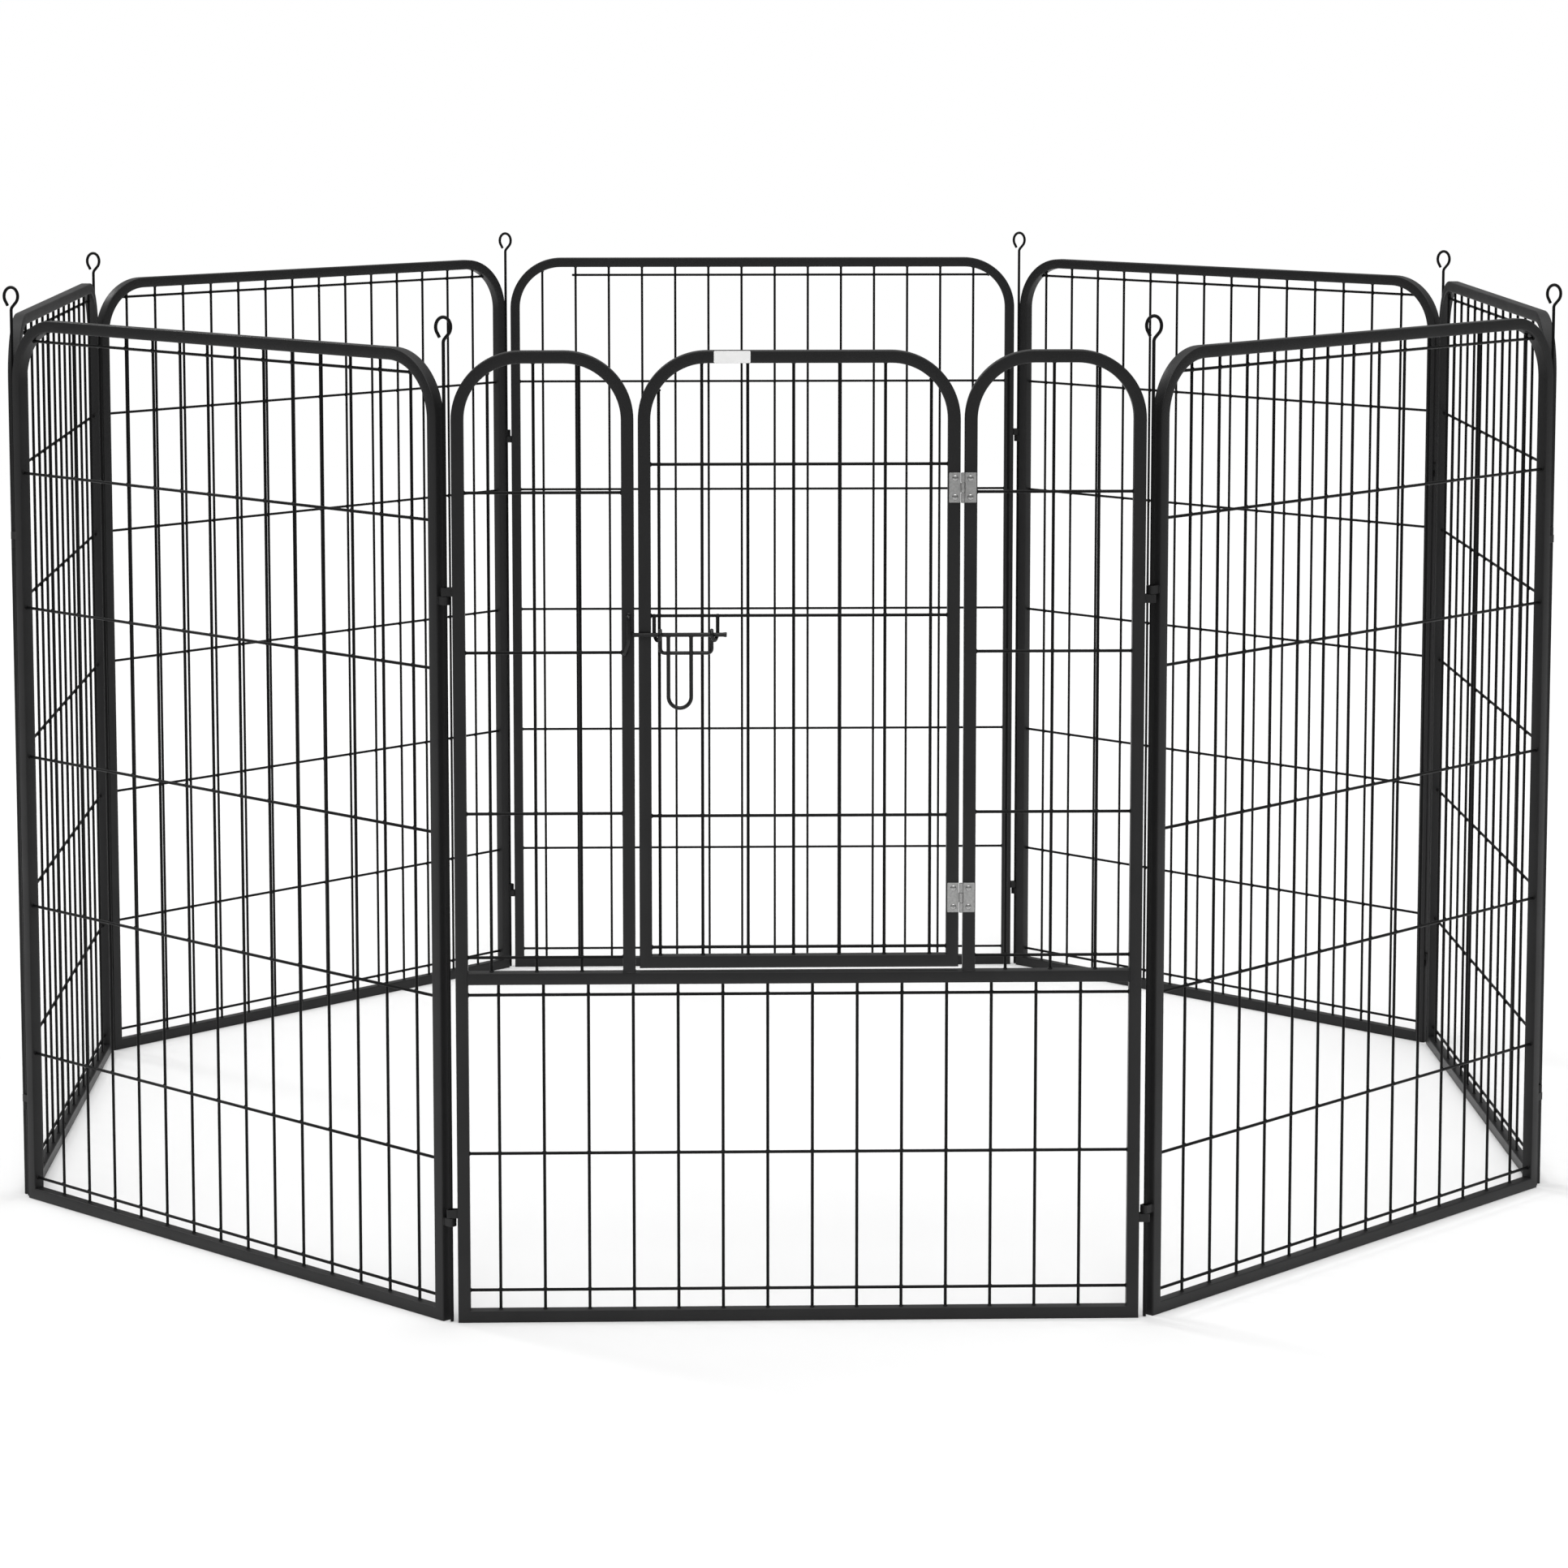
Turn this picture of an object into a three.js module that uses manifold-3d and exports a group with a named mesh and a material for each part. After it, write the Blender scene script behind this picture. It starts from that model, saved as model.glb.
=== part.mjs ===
// Eight-panel folding pet playpen: square-tube panels filled with a wire grid, standing as a
// regular octagon and hinged to each other on long pull-out corner rods. One panel has a door.
//
// Millimetres, +Z up. The origin is the centre of the octagon on the floor. The door panel
// faces -Y, and the panels are counted anticlockwise from it, seen from above. Each panel is
// built in its own frame, with +X along the panel, -Y on its outer side and z = 0 on the floor.

import * as THREE from "three";
import { mergeVertices } from "three/addons/utils/BufferGeometryUtils.js";
import Module from "manifold-3d";

const wasm = await Module();
wasm.setup();

// ---- Driving dimensions: panels

const PANEL_NAMES = [
  "door",
  "right_front",
  "right",
  "right_back",
  "back",
  "left_back",
  "left",
  "left_front",
];
const PANEL_WIDTH = 700;
const PANEL_HEIGHT = 1000;
const TUBE = 12.7;
const SHOULDER_RADIUS = 70;
const SHOULDER_STEPS = 4; // half the number of facets in a quarter turn
const ROD_GAP = 6.7; // from the axis of a corner rod to the stile on each side of it
const BEND_STEPS = 4; // facets in a bend of wire
const FIT_GAP = 0.3; // between two separate pieces that bear on each other
const WELD_GAP = 0.8; // between a grid wire's end and the faceted tube it is welded to
const FUSE = 1; // how far one solid runs into, or past, another that it is joined to or cuts

const HALF_PANEL = PANEL_WIDTH / 2;
const HALF_TUBE = TUBE / 2;
const FACE_Y = -HALF_TUBE; // the outer face of every tube
const CORNER_TURN = (2 * Math.PI) / PANEL_NAMES.length;
const APOTHEM = (HALF_PANEL + ROD_GAP) / Math.tan(CORNER_TURN / 2);

// ---- Driving dimensions: wire grids

const WIRE_RADIUS = 1.9; // half-diagonal of the four-sided wire
const WIRE_SIDES = 4;
const WIRE_SEPARATION = 2 * WIRE_RADIUS + FIT_GAP; // between crossing wires that pass clear
const WELD_SINK = 0.35; // how much nearer a rim wire lies, so that it fuses with the others
const WIRE_OVERHANG = 4.5;

const evenly = (first, pitch, count) => Array.from({ length: count }, (_, i) => first + i * pitch);
const STANDARD_COLUMNS = evenly(-293, 46.05, 14);
const STANDARD_ROWS = [25, 169, 338.5, 508.5, 677, 828, 976];
const LOWER_COLUMNS = evenly(-306.5, 45.75, 14);
const LOWER_ROWS = [33.5, 176.9, 342.2];
const LEFT_ARCH_COLUMNS = evenly(-313.3, 46, 3);
const RIGHT_ARCH_COLUMNS = evenly(210.8, 46, 3);
const ARCH_ROWS = [381, 529.4, 694.3, 856.8];
const LEAF_COLUMNS = [-141.4, ...evenly(-98, 46.2, 6)]; // the first one stands a little closer
const LEAF_ROWS = [391, 526.6, 731.6, 885.2];

// ---- Driving dimensions: door

const MID_RAIL_TOP = 366;
const LEAF_HALF_WIDTH = 162.4;
const LEAF_SIDE_GAP = 4.3;
const LEAF_BOTTOM = 370;
const ARCH_EDGE = LEAF_HALF_WIDTH + LEAF_SIDE_GAP;

// ---- Driving dimensions: corner loops and rods

const LOOP_HEIGHTS = [109.5, 752]; // where the upper loop of one panel sits on the lower one
const LOOP_HALF_WIDTH = 4.4;
const LOOP_BORE_HALF = 3;
const LOOP_TALL = 8.6;
const LOOP_NECK_HALF = 1.5;
const ROD_RADIUS = 1.75;
const ROD_SIDES = 6;
const EYE_RADIUS = 7.5; // across the ring, to the wire's centre line
const EYE_TALL_RADIUS = 9.9; // up the ring
const EYE_CENTRE_Z = 1023.8;
const EYE_BEND_Z = 1010.4;
const EYE_TIP = { x: -3.9, z: 1013.6 };
const EYE_OPEN_ANGLE = 0.73; // below the horizontal, where the ring runs into the stem
const EYE_STEPS = 10;

// ---- Driving dimensions: door hinges

const HINGE_HEIGHTS = { upper: 861.5, lower: 442 };
const HINGE_X = LEAF_HALF_WIDTH + LEAF_SIDE_GAP / 2;
const HINGE_Y = FACE_Y - 2.4;
const HINGE_TALL = 30.4;
const HINGE_REACH = 13.9; // from the pin's axis to the outer edge of a leaf
const LEAF_PLATE = 1;
const KNUCKLE_RADIUS = 2;
const KNUCKLE_BORE = 1.2;
const KNUCKLE_ROW = 9.8;
const KNUCKLE_CLEARANCE = 0.4; // between a knuckle and the edge of the other leaf's plate
const KNUCKLE_SIDES = 10;
const PIN_RADIUS = 0.85;
const PIN_HEAD_RADIUS = 1.7;
const PIN_HEAD_TALL = 0.8;
const RIVET_X = 7.7; // from the pin's axis
const RIVET_Z = 9.6; // from the middle of the hinge
const RIVET_HEAD_RADIUS = 3.1;
const RIVET_HEAD_TALL = 1;
const RIVET_SHANK_RADIUS = 1.4;
const RIVET_HOLE_RADIUS = 1.85;
const RIVET_DEPTH = 4;
const RIVET_SIDES = 8;
const RIVET_DOME_STEPS = 3;

// ---- Driving dimensions: latch

const BOLT_Z = 713.2;
const BOLT_Y = FACE_Y - 2.8;
const BOLT_RADIUS = 2.2;
const BOLT_TIP_X = -169.8;
const BOLT_END_X = -73.3;
const BOLT_NOSE = { radius: 1.4, length: 1.2 };
const BOLT_SIDES = 10;
const HANDLE_LEGS = [-132.3, -109.4];
const HANDLE_RADIUS = 2;
const HANDLE_BOTTOM_Z = 638.5; // of the wire's centre line
const HANDLE_STEPS = 8;
const JOURNAL_RADIUS = 1.3;
const JOURNAL_HALF_WIDTH = 2.1;
const COLLAR_RADIUS = 2.6;
const COLLAR_BORE = 1.75;
const COLLAR_HALF_WIDTH = 1.7;
const GUIDE_RADIUS = 1.9;
const COIL_CLEARANCE = 0.3; // between the bolt and the coils round it
const COIL_RADIUS = BOLT_RADIUS + COIL_CLEARANCE + GUIDE_RADIUS;
const COIL_STEPS = 10;
const GUIDE_STRANDS = [-146.6, -82.5];
const GUIDE_BAR_ENDS = [-140.4, -88.5];
const GUIDE_TOP_Z = 728.2;
const GUIDE_BAR_Z = 694;
const GUIDE_BEND = 5; // how far before its corner each bend starts
const KEEPER_X = -172.2;
const KEEPER_RADIUS = 2;
const KEEPER_OUT = 7.5; // from the tube's face to the middle of the keeper's upright
const KEEPER_TOP_Z = 732.5;
const KEEPER_BOTTOM_Z = 706;
const KEEPER_TAIL = { x: -176.3, z: 693 };
const KEEPER_BEND = 4;
const ROUND_WIRE_SIDES = 6; // of the bent wires of the latch

// ---- Driving dimensions: label

const LABEL = { x: -67.5, z: PANEL_HEIGHT - HALF_TUBE, wide: 36.7, tall: 12.2, thick: 0.5 };

// ---- Materials

const metal = (color, roughness, metalness) =>
  new THREE.MeshStandardMaterial({ color, roughness, metalness });
const FRAME_FINISH = metal(0x2c2c2c, 0.5, 0.25);
const WIRE_FINISH = metal(0x161616, 0.45, 0.25);
const ROD_FINISH = metal(0x121212, 0.4, 0.3);
const LATCH_FINISH = metal(0x1e1e1e, 0.4, 0.3);
const ZINC_FINISH = metal(0x9a9a98, 0.38, 0.9);
const LABEL_FINISH = metal(0xe9e9e6, 0.5, 0);

// ---- Solids

function solidOf(geometry) {
  const bare = geometry.clone();
  bare.deleteAttribute("normal");
  bare.deleteAttribute("uv");
  const merged = mergeVertices(bare, 1e-4);
  return new wasm.Manifold(
    new wasm.Mesh({
      numProp: 3,
      vertProperties: merged.attributes.position.array,
      triVerts: new Uint32Array(merged.index.array),
    }),
  );
}

function geometryOf(solid) {
  const mesh = solid.getMesh();
  const geometry = new THREE.BufferGeometry();
  geometry.setAttribute("position", new THREE.BufferAttribute(mesh.vertProperties, 3));
  geometry.setIndex(new THREE.BufferAttribute(mesh.triVerts, 1));
  const flat = geometry.toNonIndexed();
  flat.computeVertexNormals();
  return flat;
}

const joined = (solids) => solids.reduce((whole, next) => whole.add(next));

function box(x, y, z) {
  const geometry = new THREE.BoxGeometry(x[1] - x[0], y[1] - y[0], z[1] - z[0]);
  geometry.translate((x[0] + x[1]) / 2, (y[0] + y[1]) / 2, (z[0] + z[1]) / 2);
  return solidOf(geometry);
}

// A flat outline in x and z, given the tube's depth and centred on y = 0.
function tubeWork(shape) {
  const geometry = new THREE.ExtrudeGeometry(shape, {
    depth: TUBE,
    bevelEnabled: false,
    curveSegments: SHOULDER_STEPS,
  });
  geometry.rotateX(Math.PI / 2);
  geometry.translate(0, HALF_TUBE, 0);
  return solidOf(geometry);
}

// A path through a list of points, with exactly one cross-section at each of them.
class PointPath extends THREE.Curve {
  constructor(points) {
    super();
    this.points = points;
  }

  getUtoTmapping(u) {
    return u;
  }

  getPoint(t, target = new THREE.Vector3()) {
    const place = t * (this.points.length - 1);
    const index = Math.min(Math.floor(place), this.points.length - 2);
    return target.lerpVectors(this.points[index], this.points[index + 1], place - index);
  }
}

function wireAlong(points, radius, sides) {
  const corners = Array.from({ length: sides }, (_, i) => {
    const angle = ((i + 0.5) * 2 * Math.PI) / sides;
    return new THREE.Vector2(radius * Math.cos(angle), radius * Math.sin(angle));
  });
  return new THREE.ExtrudeGeometry(new THREE.Shape(corners), {
    steps: points.length - 1,
    extrudePath: new PointPath(points),
  });
}

// The corners of a bent wire, with every inner corner rounded off.
function bent(corners, bendLength) {
  const points = [corners[0]];
  for (let i = 1; i < corners.length - 1; i++) {
    const towards = (other) =>
      corners[i].clone().add(other.clone().sub(corners[i]).setLength(bendLength));
    const curve = new THREE.QuadraticBezierCurve3(
      towards(corners[i - 1]),
      corners[i],
      towards(corners[i + 1]),
    );
    points.push(...curve.getPoints(BEND_STEPS));
  }
  points.push(corners.at(-1));
  return points;
}

const point = (x, y, z) => new THREE.Vector3(x, y, z);

// ---- Outlines

// A rectangle with square feet and rounded shoulders, drawn into a shape or a hole.
function shouldered(path, { left, right, bottom, top, radius }) {
  path.moveTo(left, bottom);
  path.lineTo(right, bottom);
  path.lineTo(right, top - radius);
  path.absarc(right - radius, top - radius, radius, 0, Math.PI / 2, false);
  path.lineTo(left + radius, top);
  path.absarc(left + radius, top - radius, radius, Math.PI / 2, Math.PI, false);
  path.lineTo(left, bottom);
  return path;
}

function squareCornered(path, { left, right, bottom, top }) {
  path.moveTo(left, bottom);
  path.lineTo(right, bottom);
  path.lineTo(right, top);
  path.lineTo(left, top);
  path.lineTo(left, bottom);
  return path;
}

// The clear opening inside a tube outline.
const inside = ({ left, right, bottom, top, radius }) => ({
  left: left + TUBE,
  right: right - TUBE,
  bottom: bottom + TUBE,
  top: top - TUBE,
  radius: radius - TUBE,
});

const PANEL = {
  left: -HALF_PANEL,
  right: HALF_PANEL,
  bottom: 0,
  top: PANEL_HEIGHT,
  radius: SHOULDER_RADIUS,
};
const LEAF = { ...PANEL, left: -LEAF_HALF_WIDTH, right: LEAF_HALF_WIDTH, bottom: LEAF_BOTTOM };
const RIGHT_ARCH = { ...PANEL, left: ARCH_EDGE, bottom: MID_RAIL_TOP - TUBE };
const LEFT_ARCH = { ...RIGHT_ARCH, left: -HALF_PANEL, right: -ARCH_EDGE };
const LOWER_OPENING = {
  left: -HALF_PANEL + TUBE,
  right: HALF_PANEL - TUBE,
  bottom: TUBE,
  top: MID_RAIL_TOP - TUBE,
  radius: 0,
};

// ---- Panel frames

// A square strap eye for the corner rod, on a short neck from the stile on side +1 or -1.
function cornerLoop(side, low) {
  const axis = side * (HALF_PANEL + ROD_GAP);
  const high = low + LOOP_TALL;
  const square = (half) => [
    [axis - half, axis + half],
    [-half, half],
  ];
  const block = box(...square(LOOP_HALF_WIDTH), [low, high]);
  const bore = box(...square(LOOP_BORE_HALF), [low - FUSE, high + FUSE]);
  const middleOfWall = (LOOP_BORE_HALF + LOOP_HALF_WIDTH) / 2;
  const neckEnds = [axis - side * middleOfWall, side * (HALF_PANEL - FUSE)];
  neckEnds.sort((a, b) => a - b);
  const neck = box(neckEnds, [-LOOP_NECK_HALF, LOOP_NECK_HALF], [low, high]);
  return block.subtract(bore).add(neck);
}

// Each stile on the +X side carries the lower loops of its corner, and the -X one the upper.
const cornerLoops = () =>
  LOOP_HEIGHTS.flatMap((height) => [
    cornerLoop(1, height - FIT_GAP / 2 - LOOP_TALL),
    cornerLoop(-1, height + FIT_GAP / 2),
  ]);

function standardFrame() {
  const shape = shouldered(new THREE.Shape(), PANEL);
  shape.holes.push(shouldered(new THREE.Path(), inside(PANEL)));
  return joined([tubeWork(shape), ...cornerLoops()]);
}

// The door panel's tube: two tall arches side by side on a full-width base, with the doorway
// between them.
function doorPanelFrame() {
  const shape = new THREE.Shape();
  shape.moveTo(-HALF_PANEL, 0);
  shape.lineTo(HALF_PANEL, 0);
  for (const { left, right, top, radius } of [RIGHT_ARCH, LEFT_ARCH]) {
    shape.lineTo(right, left > 0 ? top - radius : MID_RAIL_TOP);
    shape.lineTo(right, top - radius);
    shape.absarc(right - radius, top - radius, radius, 0, Math.PI / 2, false);
    shape.lineTo(left + radius, top);
    shape.absarc(left + radius, top - radius, radius, Math.PI / 2, Math.PI, false);
    shape.lineTo(left, left > 0 ? MID_RAIL_TOP : 0);
  }
  for (const arch of [LEFT_ARCH, RIGHT_ARCH]) {
    shape.holes.push(shouldered(new THREE.Path(), inside(arch)));
  }
  shape.holes.push(squareCornered(new THREE.Path(), LOWER_OPENING));
  const frame = joined([tubeWork(shape), ...cornerLoops()]);
  return frame.subtract(joined(rivetHoles(1)));
}

function leafFrame() {
  const shape = shouldered(new THREE.Shape(), LEAF);
  shape.holes.push(shouldered(new THREE.Path(), inside(LEAF)));
  return tubeWork(shape).subtract(joined(rivetHoles(-1)));
}

// ---- Wire grids

// How far a rounded shoulder cuts in at a distance from the straight edge beside it.
function shoulderCut(radius, distance) {
  const left = radius - distance;
  return left > 0 ? radius - Math.sqrt(radius * radius - left * left) : 0;
}

function uprightWire(opening, x, y) {
  const edge = Math.min(x - opening.left, opening.right - x) - WIRE_RADIUS;
  const low = opening.bottom + WELD_GAP;
  const high = opening.top - shoulderCut(opening.radius, edge) - WELD_GAP;
  const geometry = new THREE.CylinderGeometry(WIRE_RADIUS, WIRE_RADIUS, high - low, WIRE_SIDES);
  geometry.rotateX(Math.PI / 2);
  geometry.translate(x, y, (low + high) / 2);
  return solidOf(geometry);
}

function crossWire(opening, z, y, rightEnd = Infinity) {
  const cut = shoulderCut(opening.radius, opening.top - z - WIRE_RADIUS) + WELD_GAP;
  const left = opening.left + cut;
  const right = Math.min(opening.right - cut, rightEnd);
  const geometry = new THREE.CylinderGeometry(WIRE_RADIUS, WIRE_RADIUS, right - left, WIRE_SIDES);
  geometry.rotateZ(Math.PI / 2);
  geometry.translate((left + right) / 2, y, z);
  return solidOf(geometry);
}

// Uprights behind, cross wires on the outer side. The first upright and the rim cross wires
// lie a little nearer, so that they fuse with every wire they cross and hold the grid together.
function wireGrid(opening, columns, rows, topRightEnd) {
  const near = WIRE_SEPARATION / 2 - 2 * WELD_SINK;
  const far = WIRE_SEPARATION / 2;
  const uprights = columns.map((x, i) => uprightWire(opening, x, i === 0 ? near : far));
  const crossings = rows.map((z, i) => {
    const rim = i === 0 || i === rows.length - 1;
    const rightEnd = i === rows.length - 1 ? topRightEnd : undefined;
    return crossWire(opening, z, rim ? -near : -far, rightEnd);
  });
  return joined([...uprights, ...crossings]);
}

function standardGrid() {
  return wireGrid(inside(PANEL), STANDARD_COLUMNS, STANDARD_ROWS);
}

// The back panel's top cross wire stops just past the last upright but one.
function backGrid() {
  const topRightEnd = STANDARD_COLUMNS.at(-2) + WIRE_OVERHANG;
  return wireGrid(inside(PANEL), STANDARD_COLUMNS, STANDARD_ROWS, topRightEnd);
}

// ---- Corner rod

// A long rod that stands on the floor, with an open finger ring bent from its top.
function cornerRod() {
  const ring = Array.from({ length: EYE_STEPS + 1 }, (_, i) => {
    const sweep = Math.PI + 2 * EYE_OPEN_ANGLE;
    const angle = -EYE_OPEN_ANGLE + (sweep * i) / EYE_STEPS;
    return point(
      EYE_RADIUS * Math.cos(angle),
      0,
      EYE_CENTRE_Z + EYE_TALL_RADIUS * Math.sin(angle),
    );
  });
  const points = [
    point(0, 0, 0),
    point(0, 0, EYE_BEND_Z),
    ...ring,
    point(EYE_TIP.x, 0, EYE_TIP.z),
  ];
  return solidOf(wireAlong(points, ROD_RADIUS, ROD_SIDES));
}

// ---- Door hinges

function knuckle(low) {
  const tube = new THREE.Shape();
  tube.absarc(0, 0, KNUCKLE_RADIUS, 0, 2 * Math.PI, false);
  tube.holes.push(new THREE.Path().absarc(0, 0, KNUCKLE_BORE, 0, 2 * Math.PI, false));
  const geometry = new THREE.ExtrudeGeometry(tube, {
    depth: KNUCKLE_ROW,
    bevelEnabled: false,
    curveSegments: KNUCKLE_SIDES / 2,
  });
  geometry.translate(0, 0, low);
  return solidOf(geometry);
}

function rivetBore(x, y, z, radius, length) {
  const geometry = new THREE.CylinderGeometry(radius, radius, length, RIVET_SIDES);
  geometry.translate(x, y, z);
  return solidOf(geometry);
}

// Holes for the rivet shanks, in the stile on side +1 (fixed) or -1 (door) of the hinges.
function rivetHoles(side) {
  const length = 2 * (RIVET_DEPTH + FIT_GAP);
  return Object.values(HINGE_HEIGHTS).flatMap((height) =>
    [-RIVET_Z, RIVET_Z].map((dz) =>
      rivetBore(HINGE_X + side * RIVET_X, FACE_Y, height + dz, RIVET_HOLE_RADIUS, length),
    ),
  );
}

// One leaf of a butt hinge, about the pin's axis at x = y = 0 and the hinge's middle at z = 0.
// The fixed leaf, on side +1, has the two outer knuckles, and the door leaf the middle one.
function hingeLeaf(side) {
  const step = KNUCKLE_ROW + (HINGE_TALL - 3 * KNUCKLE_ROW) / 2;
  const rows = side > 0 ? [-step, step] : [0];
  const back = FACE_Y - HINGE_Y - FIT_GAP;
  const depth = [back - LEAF_PLATE, back];
  const across = (from, to) => [side * from, side * to].sort((a, b) => a - b);
  const innerEdge = KNUCKLE_RADIUS + KNUCKLE_CLEARANCE;
  const plate = box(across(innerEdge, HINGE_REACH), depth, [-HINGE_TALL / 2, HINGE_TALL / 2]);
  const tabs = rows.flatMap((middle) => {
    const low = middle - KNUCKLE_ROW / 2;
    const tab = across(FIT_GAP, innerEdge + FUSE);
    return [knuckle(low), box(tab, depth, [low, low + KNUCKLE_ROW])];
  });
  const holes = [-RIVET_Z, RIVET_Z].map((dz) =>
    rivetBore(side * RIVET_X, back, dz, RIVET_HOLE_RADIUS, 2 * (LEAF_PLATE + FUSE)),
  );
  return joined([plate, ...tabs]).subtract(joined(holes));
}

function turned(profile, sides) {
  return new THREE.LatheGeometry(
    profile.map(([radius, height]) => new THREE.Vector2(radius, height)),
    sides,
  );
}

function hingePin() {
  const shoulder = HINGE_TALL / 2 + FIT_GAP;
  const top = shoulder + PIN_HEAD_TALL;
  const geometry = turned(
    [
      [0, -top],
      [PIN_HEAD_RADIUS, -top],
      [PIN_HEAD_RADIUS, -shoulder],
      [PIN_RADIUS, -shoulder],
      [PIN_RADIUS, shoulder],
      [PIN_HEAD_RADIUS, shoulder],
      [PIN_HEAD_RADIUS, top],
      [0, top],
    ],
    KNUCKLE_SIDES,
  );
  geometry.rotateX(Math.PI / 2);
  return solidOf(geometry);
}

// A round-headed rivet through a hinge leaf into the stile, with y = 0 on the stile's face.
function rivet() {
  const seat = -LEAF_PLATE - 2 * FIT_GAP;
  const dome = Array.from({ length: RIVET_DOME_STEPS + 1 }, (_, i) => {
    const angle = (i / RIVET_DOME_STEPS) * (Math.PI / 2);
    return [RIVET_HEAD_RADIUS * Math.sin(angle), seat - RIVET_HEAD_TALL * Math.cos(angle)];
  });
  const geometry = turned(
    [
      ...dome,
      [RIVET_SHANK_RADIUS, seat],
      [RIVET_SHANK_RADIUS, RIVET_DEPTH],
      [0, RIVET_DEPTH],
    ],
    RIVET_SIDES,
  );
  return solidOf(geometry);
}

// ---- Latch

// The round bolt, turned down to a journal where each leg of the handle is hung.
function latchBolt() {
  const profile = [
    [0, BOLT_TIP_X],
    [BOLT_NOSE.radius, BOLT_TIP_X],
    [BOLT_RADIUS, BOLT_TIP_X + BOLT_NOSE.length],
  ];
  for (const leg of HANDLE_LEGS) {
    profile.push(
      [BOLT_RADIUS, leg - JOURNAL_HALF_WIDTH],
      [JOURNAL_RADIUS, leg - JOURNAL_HALF_WIDTH],
      [JOURNAL_RADIUS, leg + JOURNAL_HALF_WIDTH],
      [BOLT_RADIUS, leg + JOURNAL_HALF_WIDTH],
    );
  }
  profile.push([BOLT_RADIUS, BOLT_END_X], [0, BOLT_END_X]);
  const geometry = turned(profile, BOLT_SIDES);
  geometry.rotateZ(-Math.PI / 2);
  geometry.translate(0, BOLT_Y, BOLT_Z);
  return solidOf(geometry);
}

function handleCollar(x) {
  const ring = turned(
    [
      [COLLAR_BORE, x - COLLAR_HALF_WIDTH],
      [COLLAR_RADIUS, x - COLLAR_HALF_WIDTH],
      [COLLAR_RADIUS, x + COLLAR_HALF_WIDTH],
      [COLLAR_BORE, x + COLLAR_HALF_WIDTH],
      [COLLAR_BORE, x - COLLAR_HALF_WIDTH],
    ],
    BOLT_SIDES,
  );
  ring.rotateZ(-Math.PI / 2);
  ring.translate(0, BOLT_Y, BOLT_Z);
  return solidOf(ring);
}

// The hanging U of the handle, each leg ending in a collar on the bolt.
function latchHandle() {
  const [left, right] = HANDLE_LEGS;
  const legTop = BOLT_Z - (COLLAR_BORE + COLLAR_RADIUS) / 2;
  const bendRadius = (right - left) / 2;
  const bend = Array.from({ length: HANDLE_STEPS + 1 }, (_, i) => {
    const angle = Math.PI * (1 + i / HANDLE_STEPS);
    return point(
      (left + right) / 2 + bendRadius * Math.cos(angle),
      BOLT_Y,
      HANDLE_BOTTOM_Z + bendRadius * (1 + Math.sin(angle)),
    );
  });
  const points = [point(left, BOLT_Y, legTop), ...bend, point(right, BOLT_Y, legTop)];
  const loop = solidOf(wireAlong(points, HANDLE_RADIUS, ROUND_WIRE_SIDES));
  return joined([loop, ...HANDLE_LEGS.map(handleCollar)]);
}

// One turn of the guide's wire round the bolt, starting and ending behind it.
function coil(fromX, toX) {
  return Array.from({ length: COIL_STEPS + 1 }, (_, i) => {
    const turn = i / COIL_STEPS;
    const angle = turn * 2 * Math.PI;
    return point(
      fromX + (toX - fromX) * turn,
      BOLT_Y + COIL_RADIUS * Math.cos(angle),
      BOLT_Z - COIL_RADIUS * Math.sin(angle),
    );
  });
}

// One bent wire: down from the door's cross wire, once round the bolt, along the bar below it,
// once round the bolt again and back up.
function latchGuide() {
  const back = BOLT_Y + COIL_RADIUS;
  const [leftStrand, rightStrand] = GUIDE_STRANDS;
  const [leftEnd, rightEnd] = GUIDE_BAR_ENDS;
  const bar = bent(
    [
      point(leftEnd, back, BOLT_Z),
      point(leftEnd, back, GUIDE_BAR_Z),
      point(rightEnd, back, GUIDE_BAR_Z),
      point(rightEnd, back, BOLT_Z),
    ],
    GUIDE_BEND,
  );
  const points = [
    point(leftStrand, back, GUIDE_TOP_Z),
    ...coil(leftStrand, leftEnd),
    ...bar.slice(1, -1),
    ...coil(rightStrand, rightEnd).reverse(),
    point(rightStrand, back, GUIDE_TOP_Z),
  ];
  return solidOf(wireAlong(points, GUIDE_RADIUS, ROUND_WIRE_SIDES));
}

// A wire staple that stands off the fixed stile, for the bolt to pass behind.
function latchKeeper() {
  const foot = FACE_Y - FIT_GAP;
  const out = FACE_Y - KEEPER_OUT;
  const corners = [
    point(KEEPER_X, foot, KEEPER_TOP_Z),
    point(KEEPER_X, out, KEEPER_TOP_Z),
    point(KEEPER_X, out, KEEPER_BOTTOM_Z),
    point(KEEPER_TAIL.x, foot - KEEPER_RADIUS, KEEPER_TAIL.z),
  ];
  return solidOf(wireAlong(bent(corners, KEEPER_BEND), KEEPER_RADIUS, ROUND_WIRE_SIDES));
}

// ---- Label

function blankLabel() {
  const { x, z, wide, tall, thick } = LABEL;
  const back = FACE_Y - FIT_GAP;
  return box([x - wide / 2, x + wide / 2], [back - thick, back], [z - tall / 2, z + tall / 2]);
}

// ---- Assembly

function piece(name, solid, finish, place = [0, 0, 0]) {
  const mesh = new THREE.Mesh(geometryOf(solid), finish);
  mesh.name = name;
  mesh.position.set(...place);
  return mesh;
}

function standardPanel(name) {
  const panel = new THREE.Group();
  const grid = name === "back" ? backGrid() : standardGrid();
  panel.add(piece(`${name}_panel_frame`, standardFrame(), FRAME_FINISH));
  panel.add(piece(`${name}_panel_grid`, grid, WIRE_FINISH));
  return panel;
}

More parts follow.
